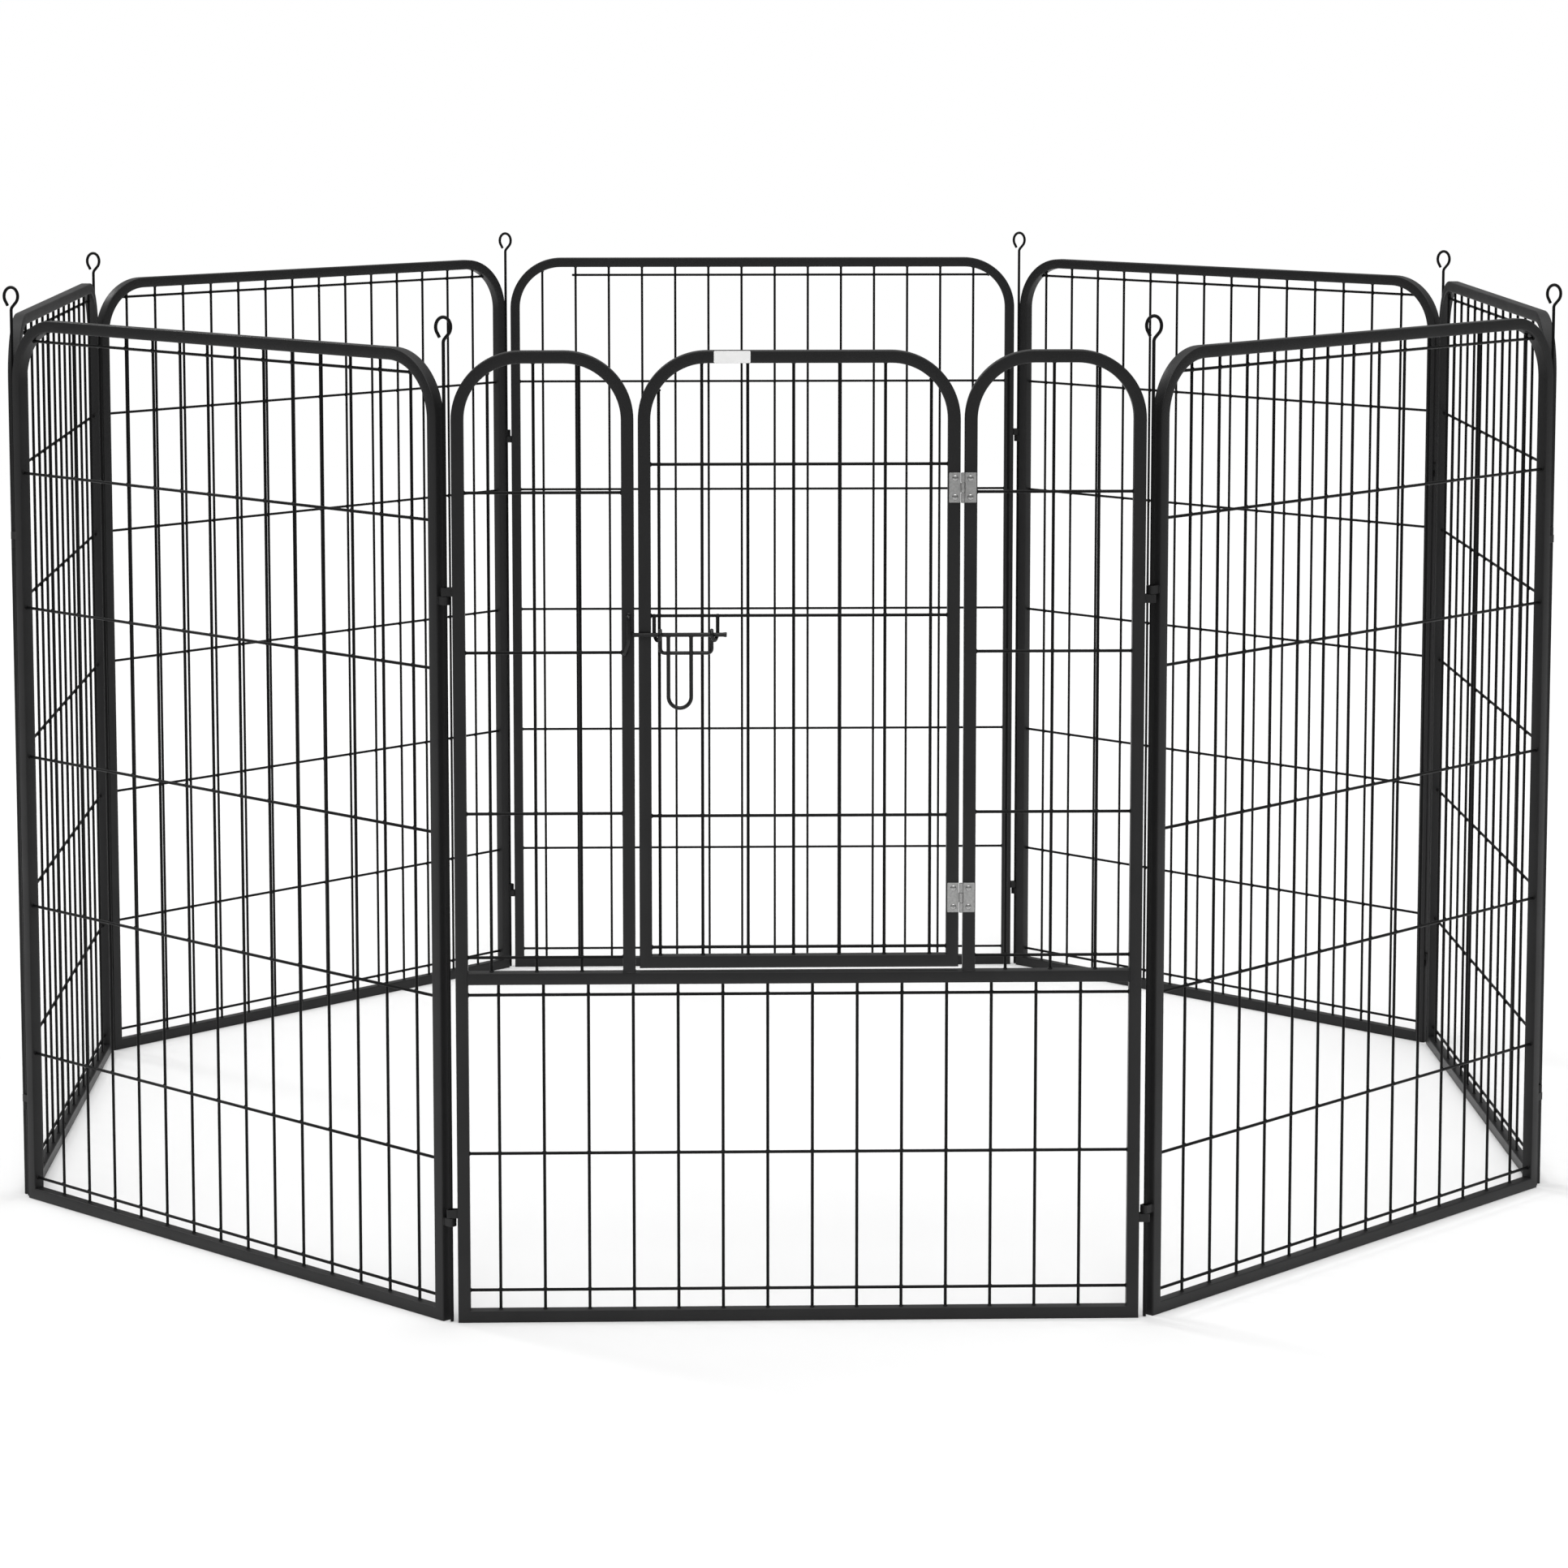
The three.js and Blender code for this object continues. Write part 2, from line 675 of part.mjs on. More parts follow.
function addHinge(panel, label, height) {
  const place = [HINGE_X, HINGE_Y, height];
  panel.add(piece(`${label}_hinge_pin`, hingePin(), ZINC_FINISH, place));
  for (const [part, side] of Object.entries({ fixed: 1, door: -1 })) {
    panel.add(piece(`${label}_hinge_${part}_leaf`, hingeLeaf(side), ZINC_FINISH, place));
    for (const [end, dz] of Object.entries({ top: RIVET_Z, bottom: -RIVET_Z })) {
      const spot = [HINGE_X + side * RIVET_X, FACE_Y, height + dz];
      panel.add(piece(`${label}_hinge_${part}_rivet_${end}`, rivet(), ZINC_FINISH, spot));
    }
  }
}

function addLatch(panel) {
  panel.add(piece("latch_keeper", latchKeeper(), LATCH_FINISH));
  panel.add(piece("latch_guide", latchGuide(), LATCH_FINISH));
  panel.add(piece("latch_bolt", latchBolt(), LATCH_FINISH));
  panel.add(piece("latch_handle", latchHandle(), LATCH_FINISH));
}

function doorPanel() {
  const panel = new THREE.Group();
  const grids = {
    door_panel_left_grid: wireGrid(inside(LEFT_ARCH), LEFT_ARCH_COLUMNS, ARCH_ROWS),
    door_panel_right_grid: wireGrid(inside(RIGHT_ARCH), RIGHT_ARCH_COLUMNS, ARCH_ROWS),
    door_panel_lower_grid: wireGrid(LOWER_OPENING, LOWER_COLUMNS, LOWER_ROWS),
    door_leaf_grid: wireGrid(inside(LEAF), LEAF_COLUMNS, LEAF_ROWS),
  };
  panel.add(piece("door_panel_frame", doorPanelFrame(), FRAME_FINISH));
  panel.add(piece("door_leaf_frame", leafFrame(), FRAME_FINISH));
  for (const [name, grid] of Object.entries(grids)) {
    panel.add(piece(name, grid, WIRE_FINISH));
  }
  for (const [label, height] of Object.entries(HINGE_HEIGHTS)) {
    addHinge(panel, label, height);
  }
  addLatch(panel);
  panel.add(piece("blank_label", blankLabel(), LABEL_FINISH));
  return panel;
}

const pen = new THREE.Group();
PANEL_NAMES.forEach((name, index) => {
  const turn = index * CORNER_TURN;
  const panel = index === 0 ? doorPanel() : standardPanel(name);
  panel.rotation.z = turn;
  panel.position.set(APOTHEM * Math.sin(turn), -APOTHEM * Math.cos(turn), 0);
  pen.add(panel);

  const corner = turn + CORNER_TURN / 2 - Math.PI / 2;
  const reach = APOTHEM / Math.cos(CORNER_TURN / 2);
  const spot = [reach * Math.cos(corner), reach * Math.sin(corner), 0];
  pen.add(piece(`corner_rod_${index + 1}`, cornerRod(), ROD_FINISH, spot));
});

export default pen;
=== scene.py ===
# The looks of a folding pet playpen: eight square-tube panels with welded wire grids, corner
# rods with finger rings, and a hinged door with a wire latch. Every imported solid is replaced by
# a detailed piece in the same place. Metres, +Z up, the door looking towards -Y.
#
# A panel is built in its own frame: x along the panel, -y on its outer side, z = 0 on the floor.

import math

import bmesh
import bpy
from mathutils import Matrix, Vector


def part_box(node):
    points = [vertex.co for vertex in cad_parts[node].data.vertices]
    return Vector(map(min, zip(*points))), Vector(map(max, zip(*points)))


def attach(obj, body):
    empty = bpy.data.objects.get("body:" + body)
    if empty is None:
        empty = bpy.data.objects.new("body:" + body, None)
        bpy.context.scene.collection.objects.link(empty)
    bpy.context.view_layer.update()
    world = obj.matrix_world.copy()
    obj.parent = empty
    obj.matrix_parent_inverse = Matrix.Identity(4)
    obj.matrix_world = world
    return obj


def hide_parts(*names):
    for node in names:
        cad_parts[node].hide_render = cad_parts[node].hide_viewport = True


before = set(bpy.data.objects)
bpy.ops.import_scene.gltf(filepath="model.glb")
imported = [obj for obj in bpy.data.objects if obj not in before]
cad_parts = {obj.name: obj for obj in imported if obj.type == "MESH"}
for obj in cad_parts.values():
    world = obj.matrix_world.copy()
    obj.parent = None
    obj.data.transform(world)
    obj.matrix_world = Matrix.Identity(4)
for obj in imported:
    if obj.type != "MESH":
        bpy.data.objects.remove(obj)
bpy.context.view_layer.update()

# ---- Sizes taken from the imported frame

PANEL_NAMES = [
    "door", "right_front", "right", "right_back", "back", "left_back", "left", "left_front"
]
DOOR = PANEL_NAMES[0]


def box_centre(node):
    low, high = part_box(node)
    return (low + high) / 2


def box_size(node):
    low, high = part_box(node)
    return high - low


ROD_SPOTS = [box_centre(f"corner_rod_{k + 1}").to_2d() for k in range(len(PANEL_NAMES))]
LEAF_LOW, LEAF_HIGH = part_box("door_leaf_frame")
TUBE = LEAF_HIGH.y - LEAF_LOW.y
PANEL_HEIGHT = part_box("back_panel_frame")[1].z
ROD_GAP = 0.0067  # from the axis of a corner rod to the stile on each side of it
HALF_PANEL = (ROD_SPOTS[0] - ROD_SPOTS[-1]).length / 2 - ROD_GAP
FACE = -TUBE / 2  # the outer face of every tube, in the panel's own frame


def panel_place(index):
    """The matrix of a panel's own frame, midway between the corner rods on either side of it."""
    left, right = ROD_SPOTS[index - 1], ROD_SPOTS[index]
    middle = (left + right) / 2
    along = right - left
    turn = math.atan2(along.y, along.x)
    return Matrix.Translation(middle.to_3d()) @ Matrix.Rotation(turn, 4, "Z")


DOOR_PLACE = panel_place(0)
DOOR_INVERSE = DOOR_PLACE.inverted()


def evenly(first, pitch, count):
    return [first + i * pitch for i in range(count)]


# ---- Sizes: tubes

TUBE_EDGE = 0.0013  # outside radius of the tube's long edges
EDGE_STEPS = 4
SHOULDER_RADIUS = 0.070
SHOULDER_STEPS = 22
MID_RAIL_TOP = LEAF_LOW.z - 0.004
LEAF_HALF_WIDTH = (LEAF_HIGH.x - LEAF_LOW.x) / 2
LEAF_SIDE_GAP = 0.0043
ARCH_EDGE = LEAF_HALF_WIDTH + LEAF_SIDE_GAP
BUTT_SINK = 0.0006  # how far a butted end runs into the tube that it is welded to
WELD_INSET = 0.0002  # of the weld's middle line from the butted tube's face
WELD_RADIUS = 0.0008
WELD_RIPPLE = (0.12, 2.1)  # share of the radius, and radians from one station to the next
WELD_STEPS = 96
WELD_SIDES = 8

# ---- Sizes: wire grids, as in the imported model

WIRE_RADIUS = 0.0016
WIRE_SIDES = 14
END_DOME_SHARES = (0.45, 0.8, 0.95)  # of the wire's radius, from the outermost ring inwards
END_DOME_TALL = 0.4  # of the wire's radius
WIRE_OFFSET = 0.00145  # of each layer from the panel's middle plane, so that crossings are sunk
WIRE_SINK = 0.0012  # of a wire's end in the tube
WIRE_OVERHANG = 0.0045
NUGGET = (0.0026, 0.0011)  # radius and half thickness of the metal squeezed out at a crossing
BEAD = (0.0025, 0.0015)  # radius and height of the bead at a wire's end

STANDARD_COLUMNS = evenly(-0.293, 0.04605, 14)
STANDARD_ROWS = [0.025, 0.169, 0.3385, 0.5085, 0.677, 0.828, 0.976]
LOWER_COLUMNS = evenly(-0.3065, 0.04575, 14)
LOWER_ROWS = [0.0335, 0.1769, 0.3422]
LEFT_ARCH_COLUMNS = evenly(-0.3133, 0.046, 3)
RIGHT_ARCH_COLUMNS = evenly(0.2108, 0.046, 3)
ARCH_ROWS = [0.381, 0.5294, 0.6943, 0.8568]
LEAF_COLUMNS = [-0.1414, *evenly(-0.098, 0.0462, 6)]
LEAF_ROWS = [0.391, 0.5266, 0.7316, 0.8852]

# ---- Sizes: corner loops and rods

LOOP_HEIGHTS = [0.1095, 0.752]
LOOP_GAP = 0.0003
LOOP_TALL = 0.0086
LOOP_HALF_WIDTH = 0.0044
LOOP_THICK = 0.0014
LOOP_BEND = 0.0019  # outside radius of the strap's two bends
LOOP_BEND_STEPS = 6
LOOP_BEVEL = 0.0003
LOOP_WELD = 0.0009
LOOP_WELD_SIDES = 10
LOOP_WELD_SPOTS = (-0.4, -0.2, 0, 0.2, 0.4)  # shares of the strap's height, from its middle
ROD_RADIUS = 0.00175
EYE_RADIUS = 0.0075
EYE_STRETCH = 1.32  # how much taller than wide the finger ring is
EYE_CENTRE_Z = 1.0238
EYE_BEND_Z = 1.0104
EYE_BEND = 0.0026  # how far before and after its corner the bend runs
EYE_TIP = (-0.0039, 1.0136)
EYE_OPEN_ANGLE = 0.73  # below the horizontal, before the ring is stretched, in radians
EYE_STEPS = 40
ROD_FOOT = 0.0008  # height at which the dome on the rod's foot starts
ROD_SIDES = 16

# ---- Sizes: hinges and latch

HINGE_PLATE = 0.001
HINGE_GAP = 0.0003  # between a leaf and the tube behind it
HINGE_CORNER = 0.0009
HINGE_CORNER_STEPS = 5
HINGE_BEVEL = 0.00018
PIN_RADIUS = 0.00085
KNUCKLE_RADIUS = 0.002
KNUCKLE_BORE = PIN_RADIUS + 0.0002
KNUCKLE_STEPS = 22
KNUCKLE_GAP = 0.0005
HINGE_NOTCH = 0.0004  # from a knuckle to the edge of the other leaf
PIN_DOME = 0.0003
PIN_DOME_STEP = (0.6, 0.75)  # a point on the dome: shares of its radius and of its height
PIN_SIDES = 20
RIVET_RADIUS = 0.0031
RIVET_TALL = 0.0012
RIVET_SHANK = 0.0014
RIVET_DEPTH = 0.0045
RIVET_STEPS = 8
RIVET_SIDES = 24
MANDREL_RADIUS = 0.0007
MANDREL_DEPTH = 0.0006
MANDREL_TAPER = 0.9  # the bottom of the mandrel's hollow, as a share of its rim

BOLT_RADIUS = 0.0022
BOLT_FLARE = 0.0026
BOLT_NOSE = [  # radius, and distance from the tip
    (BOLT_RADIUS * 0.55, 0.0002),
    (BOLT_RADIUS * 0.88, 0.0006),
    (BOLT_RADIUS, 0.0012),
]
BOLT_HEAD = [  # radius, and distance from the flared end
    (BOLT_RADIUS, 0.004),
    (BOLT_FLARE, 0.0015),
    (BOLT_FLARE, 0.0004),
    (BOLT_FLARE * 0.8, 0),
]
BOLT_SIDES = 24
HANDLE_RADIUS = 0.002
HANDLE_STEPS = 28
HANDLE_SIDES = 18
HANDLE_SINK = 0.0004  # of each leg's end in the bolt
HANDLE_WELD = (0.0025, 0.0021, 0.0011)
GUIDE_RADIUS = 0.0019
GUIDE_SIDES = 16
COIL_RADIUS = 0.0044
COIL_STEPS = 32
COIL_SAG = 0.0014  # how much further below the bolt the coil passes than above it
GUIDE_STRANDS = (-0.1466, -0.0825)
GUIDE_BAR_ENDS = (-0.1404, -0.0885)
GUIDE_BAR_Z = 0.694
GUIDE_BEND = 0.005
GUIDE_WELD = (0.0023, 0.0016, 0.0021)
KEEPER_OUT = 0.0075
KEEPER_RADIUS = 0.002
KEEPER_TOP_Z = 0.7325
KEEPER_BOTTOM_Z = 0.706
KEEPER_X = -0.1722
KEEPER_TAIL = (-0.1763, 0.693)
KEEPER_BEND = 0.004
KEEPER_SINK = 0.0005
KEEPER_TOP_WELD = (0.0029, 0.0010, 0.0029)
KEEPER_TAIL_WELD = (0.0024, 0.0012, 0.0030)
KEEPER_TAIL_WELD_RISE = 0.0012
KEEPER_SIDES = 16
BEND_STEPS = 8

LABEL_CORNER = 0.0012
LABEL_CORNER_STEPS = 6
LABEL_THICK = 0.0006

SMOOTH_BELOW = math.radians(38)
BLOB_STEPS = 6
BLOB_SIDES = 10

# ---- Sizes and levels: studio

FLOOR_WHITE = (0.82, 0.82, 0.82)
FLOOR_FADE = (3.5, 8.0)  # distances from the middle over which the floor fades out
FLOOR_FIBRE = 0.02
FLOOR_ROUGHNESS = (0.85, 0.95)
FLOOR_SPECULAR = 0.1
WALL_LOW = (0.22, 0.22, 0.22)
WALL_HIGH = (0.75, 0.75, 0.75)
SUNS = [  # name, the direction that it shines from, its spread in degrees, its strength
    ("overhead", (0, -0.15, 1), 80, 1.9),
    ("key", (0, -0.69, 0.70), 20, 0.45),
    ("rim", (-0.61, 0.52, 0.60), 9, 0.5),
]
CAMERA_PLACE = (-0.1319, -5.3109, 1.3330)
CAMERA_PITCH = -6.839  # degrees upwards
CAMERA_TURN = -1.500  # degrees to the left
CAMERA_LENS = 102.02
CAMERA_SENSOR = 36
CAMERA_SHIFT = -0.15
CAMERA_REACH = 200

# ---- Mesh tools


def arc_points(centre, radius, start, end, steps):
    """Points of an arc in a plane, both ends included; the angles are in radians."""
    return [
        Vector(
            (
                centre[0] + radius * math.cos(start + (end - start) * i / steps),
                centre[1] + radius * math.sin(start + (end - start) * i / steps),
            )
        )
        for i in range(steps + 1)
    ]


def rounded_rectangle(half_wide, half_tall, radius, steps):
    """An anticlockwise outline with its four corners rounded."""
    quarter = math.pi / 2
    outline = []
    for i, (sx, sy) in enumerate([(1, 1), (-1, 1), (-1, -1), (1, -1)]):
        centre = (sx * (half_wide - radius), sy * (half_tall - radius))
        outline += arc_points(centre, radius, i * quarter, (i + 1) * quarter, steps)
    return outline


def bridge(bm, rings, closed=False):
    """Faces between neighbouring rings of the same number of vertices."""
    pairs = list(zip(rings, rings[1:]))
    if closed:
        pairs.append((rings[-1], rings[0]))
    for lower, upper in pairs:
        for i, corner in enumerate(lower):
            j = (i + 1) % len(lower)
            bm.faces.new((corner, lower[j], upper[j], upper[i]))


def flat_sweep(bm, path, section, closed=False):
    """Sweeps a section along a path in the x-z plane, with mitred corners.

    The section's first axis lies in that plane, across the path, and its second along y.
    """
    count = len(path)
    rings = []
    for i, spot in enumerate(path):
        before = path[i - 1] if closed or i else None
        after = path[(i + 1) % count] if closed or i < count - 1 else None
        coming = ((spot - before) if before is not None else (after - spot)).normalized()
        going = (after - spot).normalized() if after is not None else coming
        middle = (coming + going).normalized()
        across = Vector((-middle.y, middle.x)) / middle.dot(coming)
        rings.append(
            [bm.verts.new((spot.x + across.x * u, v, spot.y + across.y * u)) for u, v in section]
        )
    bridge(bm, rings, closed)
    if not closed:
        bm.faces.new(list(reversed(rings[0])))
        bm.faces.new(rings[-1])


def tube_section():
    return rounded_rectangle(TUBE / 2, TUBE / 2, TUBE_EDGE, EDGE_STEPS)


def round_wire(bm, points, radius, sides=WIRE_SIDES, rounded=True):
    """A round wire through a list of points, with slightly domed ends."""
    points = [Vector(p) for p in points]
    directions = [(b - a).normalized() for a, b in zip(points, points[1:])]
    tangents = [directions[0]]
    tangents += [(a + b).normalized() for a, b in zip(directions, directions[1:])]
    tangents.append(directions[-1])
    side = directions[0].orthogonal().normalized()
    stations = []
    for i, (spot, tangent) in enumerate(zip(points, tangents)):
        if i:
            side = (tangents[i - 1].rotation_difference(tangent)) @ side
        side = (side - tangent * side.dot(tangent)).normalized()
        stations.append((spot, tangent, side.copy(), radius))
    if rounded:
        stations = domed_end(stations[0], -1) + stations + domed_end(stations[-1], 1)[::-1]
    rings = [wire_ring(bm, station, sides) for station in stations]
    bridge(bm, rings)
    bm.faces.new(list(reversed(rings[0])))
    bm.faces.new(rings[-1])


def domed_end(station, sign):
    """The rings that round off a wire's end, from the outermost one inwards."""
    spot, tangent, side, radius = station
    made = []
    for share in END_DOME_SHARES:
        depth = END_DOME_TALL * radius * math.sqrt(1 - share * share)
        made.append((spot + sign * tangent * depth, tangent, side, radius * share))
    return made


def wire_ring(bm, station, sides):
    spot, tangent, side, radius = station
    other = tangent.cross(side)
    ring = []
    for i in range(sides):
        angle = 2 * math.pi * i / sides
        outwards = math.cos(angle) * side + math.sin(angle) * other
        ring.append(bm.verts.new(spot + radius * outwards))
    return ring


def bent(corners, bend):
    """The points of a wire through its corners, with every inner corner rounded off."""
    corners = [Vector(c) for c in corners]
    points = [corners[0]]
    for before, corner, after in zip(corners, corners[1:], corners[2:]):
        start = corner + (before - corner).normalized() * bend
        end = corner + (after - corner).normalized() * bend
        for i in range(BEND_STEPS + 1):
            t = i / BEND_STEPS
            points.append(start.lerp(corner, t).lerp(corner.lerp(end, t), t))
    points.append(corners[-1])
    return points


def blob(bm, spot, radii, turn=None):
    """A small flattened ball of weld metal."""
    place = Matrix.Translation(spot) @ (turn or Matrix.Identity(4)) @ Matrix.Diagonal((*radii, 1))
    half_circle = arc_points((0, 0), 1, -math.pi / 2, math.pi / 2, BLOB_STEPS)
    turned(bm, [(p.x, p.y) for p in half_circle], BLOB_SIDES, place)


def turned(bm, profile, sides, place):
    """A solid of revolution about z from (radius, height) pairs that start and end on the axis."""
    poles = [bm.verts.new(place @ Vector((0, 0, profile[i][1]))) for i in (0, -1)]
    rings = []
    for radius, height in profile[1:-1]:
        rings.append(
            [
                bm.verts.new(place @ Vector((radius * math.cos(a), radius * math.sin(a), height)))
                for a in (2 * math.pi * i / sides for i in range(sides))
            ]
        )
    bridge(bm, rings)
    for i in range(sides):
        j = (i + 1) % sides
        bm.faces.new((poles[0], rings[0][j], rings[0][i]))
        bm.faces.new((poles[1], rings[-1][i], rings[-1][j]))


def prism(bm, outline, low, high, place=Matrix.Identity(4)):
    """An outline in x and y, pushed up from one height to another, and then put in place."""
    rings = [[bm.verts.new(place @ Vector((p.x, p.y, z))) for p in outline] for z in (low, high)]
    bridge(bm, rings)
    bm.faces.new(list(reversed(rings[0])))
    bm.faces.new(rings[1])


def finished(name, bm, material, body, place=None, nodes=(), bevel=0.0):
    """The object of a mesh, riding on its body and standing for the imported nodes."""
    bmesh.ops.recalc_face_normals(bm, faces=bm.faces)
    mesh = bpy.data.meshes.new(name)
    bm.to_mesh(mesh)
    bm.free()
    mesh.shade_smooth()
    mesh.set_sharp_from_angle(angle=SMOOTH_BELOW)
    mesh.materials.append(material)
    piece = bpy.data.objects.new(name, mesh)
    bpy.context.scene.collection.objects.link(piece)
    piece.matrix_world = place or Matrix.Identity(4)
    if bevel:
        add_bevel(piece, bevel)
    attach(piece, body)
    if nodes:
        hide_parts(*nodes)
    return piece


def add_bevel(piece, width):
    """Rounds a piece's sharp edges, so that they catch the light."""
    bevel = piece.modifiers.new("rounded edges", "BEVEL")
    bevel.width = width
    bevel.segments = 2
    bevel.limit_method = "ANGLE"
    bevel.angle_limit = SMOOTH_BELOW
    bevel.harden_normals = True


# ---- Materials

# Sizes of the patterns, in metres
COAT_CLOUD = 0.06
COAT_GRAIN = 0.0005
COAT_PEEL = 0.0016
ZINC_CLOUD = 0.0022
ZINC_CRYSTAL = 0.0018
ZINC_LINE = 0.0004
LABEL_CLOUD = 0.008
LABEL_SKIN = 0.0006
LABEL_SKIN_DEPTH = 0.000008

# Levels of the patterns
NOISE_SPREAD = (0.3, 0.7)  # the values between which most of a noise lies
GRAIN_SPREAD = (0.35, 0.65)
COAT_SHEEN_SWING = 0.03  # how far the clouds move the roughness either way
COAT_GRAIN_SWING = 0.05  # how far the grain does
ZINC_LINE_STRETCH = (1, 1, 0.08)  # the rolling lines run along z
ZINC_METALLIC = 0.9
ZINC_SHEEN = (-0.06, 0.08)  # added to the roughness in and between the crystals
LABEL_WHITES = ((0.90, 0.90, 0.895), (0.93, 0.93, 0.925))
LABEL_SHEEN = (0.34, 0.46)


def new_material(name):
    """A material, its node tree and its Principled shader."""
    material = bpy.data.materials.new(name)
    material.use_nodes = True
    tree = material.node_tree
    shader = tree.nodes["Principled BSDF"]
    return material, tree, shader


def add_node(tree, kind, **inputs):
    """A node of that kind, with its inputs set by name."""
    node = tree.nodes.new(kind)
    for name, value in inputs.items():
        node.inputs[name.replace("_", " ")].default_value = value
    return node


def surface_coordinates(tree, stretch=(1, 1, 1)):
    """Coordinates fixed to the piece, offset from piece to piece."""
    where = tree.nodes.new("ShaderNodeTexCoord")
    which = tree.nodes.new("ShaderNodeObjectInfo")
    shift = add_node(tree, "ShaderNodeMapping", Scale=stretch)
    tree.links.new(where.outputs["Object"], shift.inputs["Vector"])
    tree.links.new(which.outputs["Random"], shift.inputs["Location"])
    return shift.outputs["Vector"]


def noise(tree, vector, size, detail=2.0, roughness=0.5):
    """Noise whose features are about that size, in metres."""
    texture = add_node(
        tree, "ShaderNodeTexNoise", Scale=1 / size, Detail=detail, Roughness=roughness
    )
    tree.links.new(vector, texture.inputs["Vector"])
    return texture.outputs["Fac"]


def mapped(tree, value, low, high, new_low, new_high):
    """A value, stretched from one range to another and kept inside it."""
    remap = add_node(
        tree, "ShaderNodeMapRange", From_Min=low, From_Max=high, To_Min=new_low, To_Max=new_high
    )
    tree.links.new(value, remap.inputs["Value"])
    return remap.outputs["Result"]


def mixed_colour(tree, factor, first, second):
    mix = tree.nodes.new("ShaderNodeMix")
    mix.data_type = "RGBA"
    mix.inputs["A"].default_value = (*first, 1)
    mix.inputs["B"].default_value = (*second, 1)
    tree.links.new(factor, mix.inputs["Factor"])
    return mix.outputs["Result"]


def bumps(tree, shader, layers):
    """Stacks bump nodes, each a height pattern with its real depth in metres."""
    normal = None
    for height, depth in layers:
        bump = add_node(tree, "ShaderNodeBump", Strength=1.0, Distance=depth)
        tree.links.new(height, bump.inputs["Height"])
        if normal is not None:
            tree.links.new(normal, bump.inputs["Normal"])
        normal = bump.outputs["Normal"]
    tree.links.new(normal, shader.inputs["Normal"])


def powder_coat(name, dark, light, roughness, peel_depth, specular):
    """Black powder coat: an orange-peel skin, finely grained, with slow changes in its sheen."""
    material, tree, shader = new_material(name)
    vector = surface_coordinates(tree)
    cloud = noise(tree, vector, COAT_CLOUD, detail=3.0, roughness=0.55)
    grain = noise(tree, vector, COAT_GRAIN, detail=3.0, roughness=0.7)
    peel = noise(tree, vector, COAT_PEEL, detail=1.0)
    shade = mapped(tree, cloud, *NOISE_SPREAD, 0, 1)
    tree.links.new(mixed_colour(tree, shade, dark, light), shader.inputs["Base Color"])
    dull, bright = roughness + COAT_SHEEN_SWING, roughness - COAT_SHEEN_SWING
    sheen = mapped(tree, cloud, *NOISE_SPREAD, dull, bright)
    speckle = mapped(tree, grain, *GRAIN_SPREAD, -COAT_GRAIN_SWING, COAT_GRAIN_SWING)
    total = tree.nodes.new("ShaderNodeMath")
    total.operation = "ADD"
    tree.links.new(sheen, total.inputs[0])
    tree.links.new(speckle, total.inputs[1])
    tree.links.new(total.outputs["Value"], shader.inputs["Roughness"])
    shader.inputs["Specular IOR Level"].default_value = specular
    bumps(tree, shader, [(peel, peel_depth), (grain, peel_depth / 3)])
    return material


def zinc_plate(name, dark, light, roughness, cloud_depth):
    """Dull zinc plate: cloudy crystals, fine rolling lines and a soft metal sheen."""
    material, tree, shader = new_material(name)
    vector = surface_coordinates(tree)
    rolled = surface_coordinates(tree, ZINC_LINE_STRETCH)
    cloud = noise(tree, vector, ZINC_CLOUD, detail=3.0, roughness=0.6)
    crystals = add_node(tree, "ShaderNodeTexVoronoi", Scale=1 / ZINC_CRYSTAL)
    tree.links.new(vector, crystals.inputs["Vector"])
    lines = noise(tree, rolled, ZINC_LINE, detail=2.0, roughness=0.6)
    grey = mixed_colour(tree, mapped(tree, cloud, *NOISE_SPREAD, 0, 1), dark, light)
    tree.links.new(grey, shader.inputs["Base Color"])
    bright, dull = (roughness + swing for swing in ZINC_SHEEN)
    spread = mapped(tree, crystals.outputs["Distance"], 0, 1, bright, dull)
    tree.links.new(spread, shader.inputs["Roughness"])
    shader.inputs["Metallic"].default_value = ZINC_METALLIC
    bumps(tree, shader, [(cloud, cloud_depth), (lines, cloud_depth / 4)])
    return material


def label_film():
    """Blank white film with a faint orange peel."""
    material, tree, shader = new_material("label film")
    vector = surface_coordinates(tree)
    cloud = noise(tree, vector, LABEL_CLOUD)
    skin = noise(tree, vector, LABEL_SKIN)
    white = mixed_colour(tree, mapped(tree, cloud, *NOISE_SPREAD, 0, 1), *LABEL_WHITES)
    tree.links.new(white, shader.inputs["Base Color"])
    tree.links.new(mapped(tree, skin, *NOISE_SPREAD, *LABEL_SHEEN), shader.inputs["Roughness"])
    bumps(tree, shader, [(skin, LABEL_SKIN_DEPTH)])
    return material


FRAME_COAT = powder_coat(
    "frame powder coat",
    dark=(0.009, 0.009, 0.0093),
    light=(0.0125, 0.0125, 0.0128),
    roughness=0.42,
    peel_depth=0.00002,
    specular=0.28,
)
WIRE_COAT = powder_coat(
    "wire powder coat",
    dark=(0.0025, 0.0025, 0.0026),
    light=(0.004, 0.004, 0.0041),
    roughness=0.40,
    peel_depth=0.000012,
    specular=0.12,
)
ROD_COAT = powder_coat(
    "rod powder coat",
    dark=(0.0025, 0.0025, 0.0026),
    light=(0.004, 0.004, 0.0041),
    roughness=0.36,
    peel_depth=0.000012,
    specular=0.14,
)
LATCH_COAT = powder_coat(
    "latch powder coat",
    dark=(0.004, 0.004, 0.0041),
    light=(0.006, 0.006, 0.0061),
    roughness=0.26,
    peel_depth=0.000012,
    specular=0.35,
)
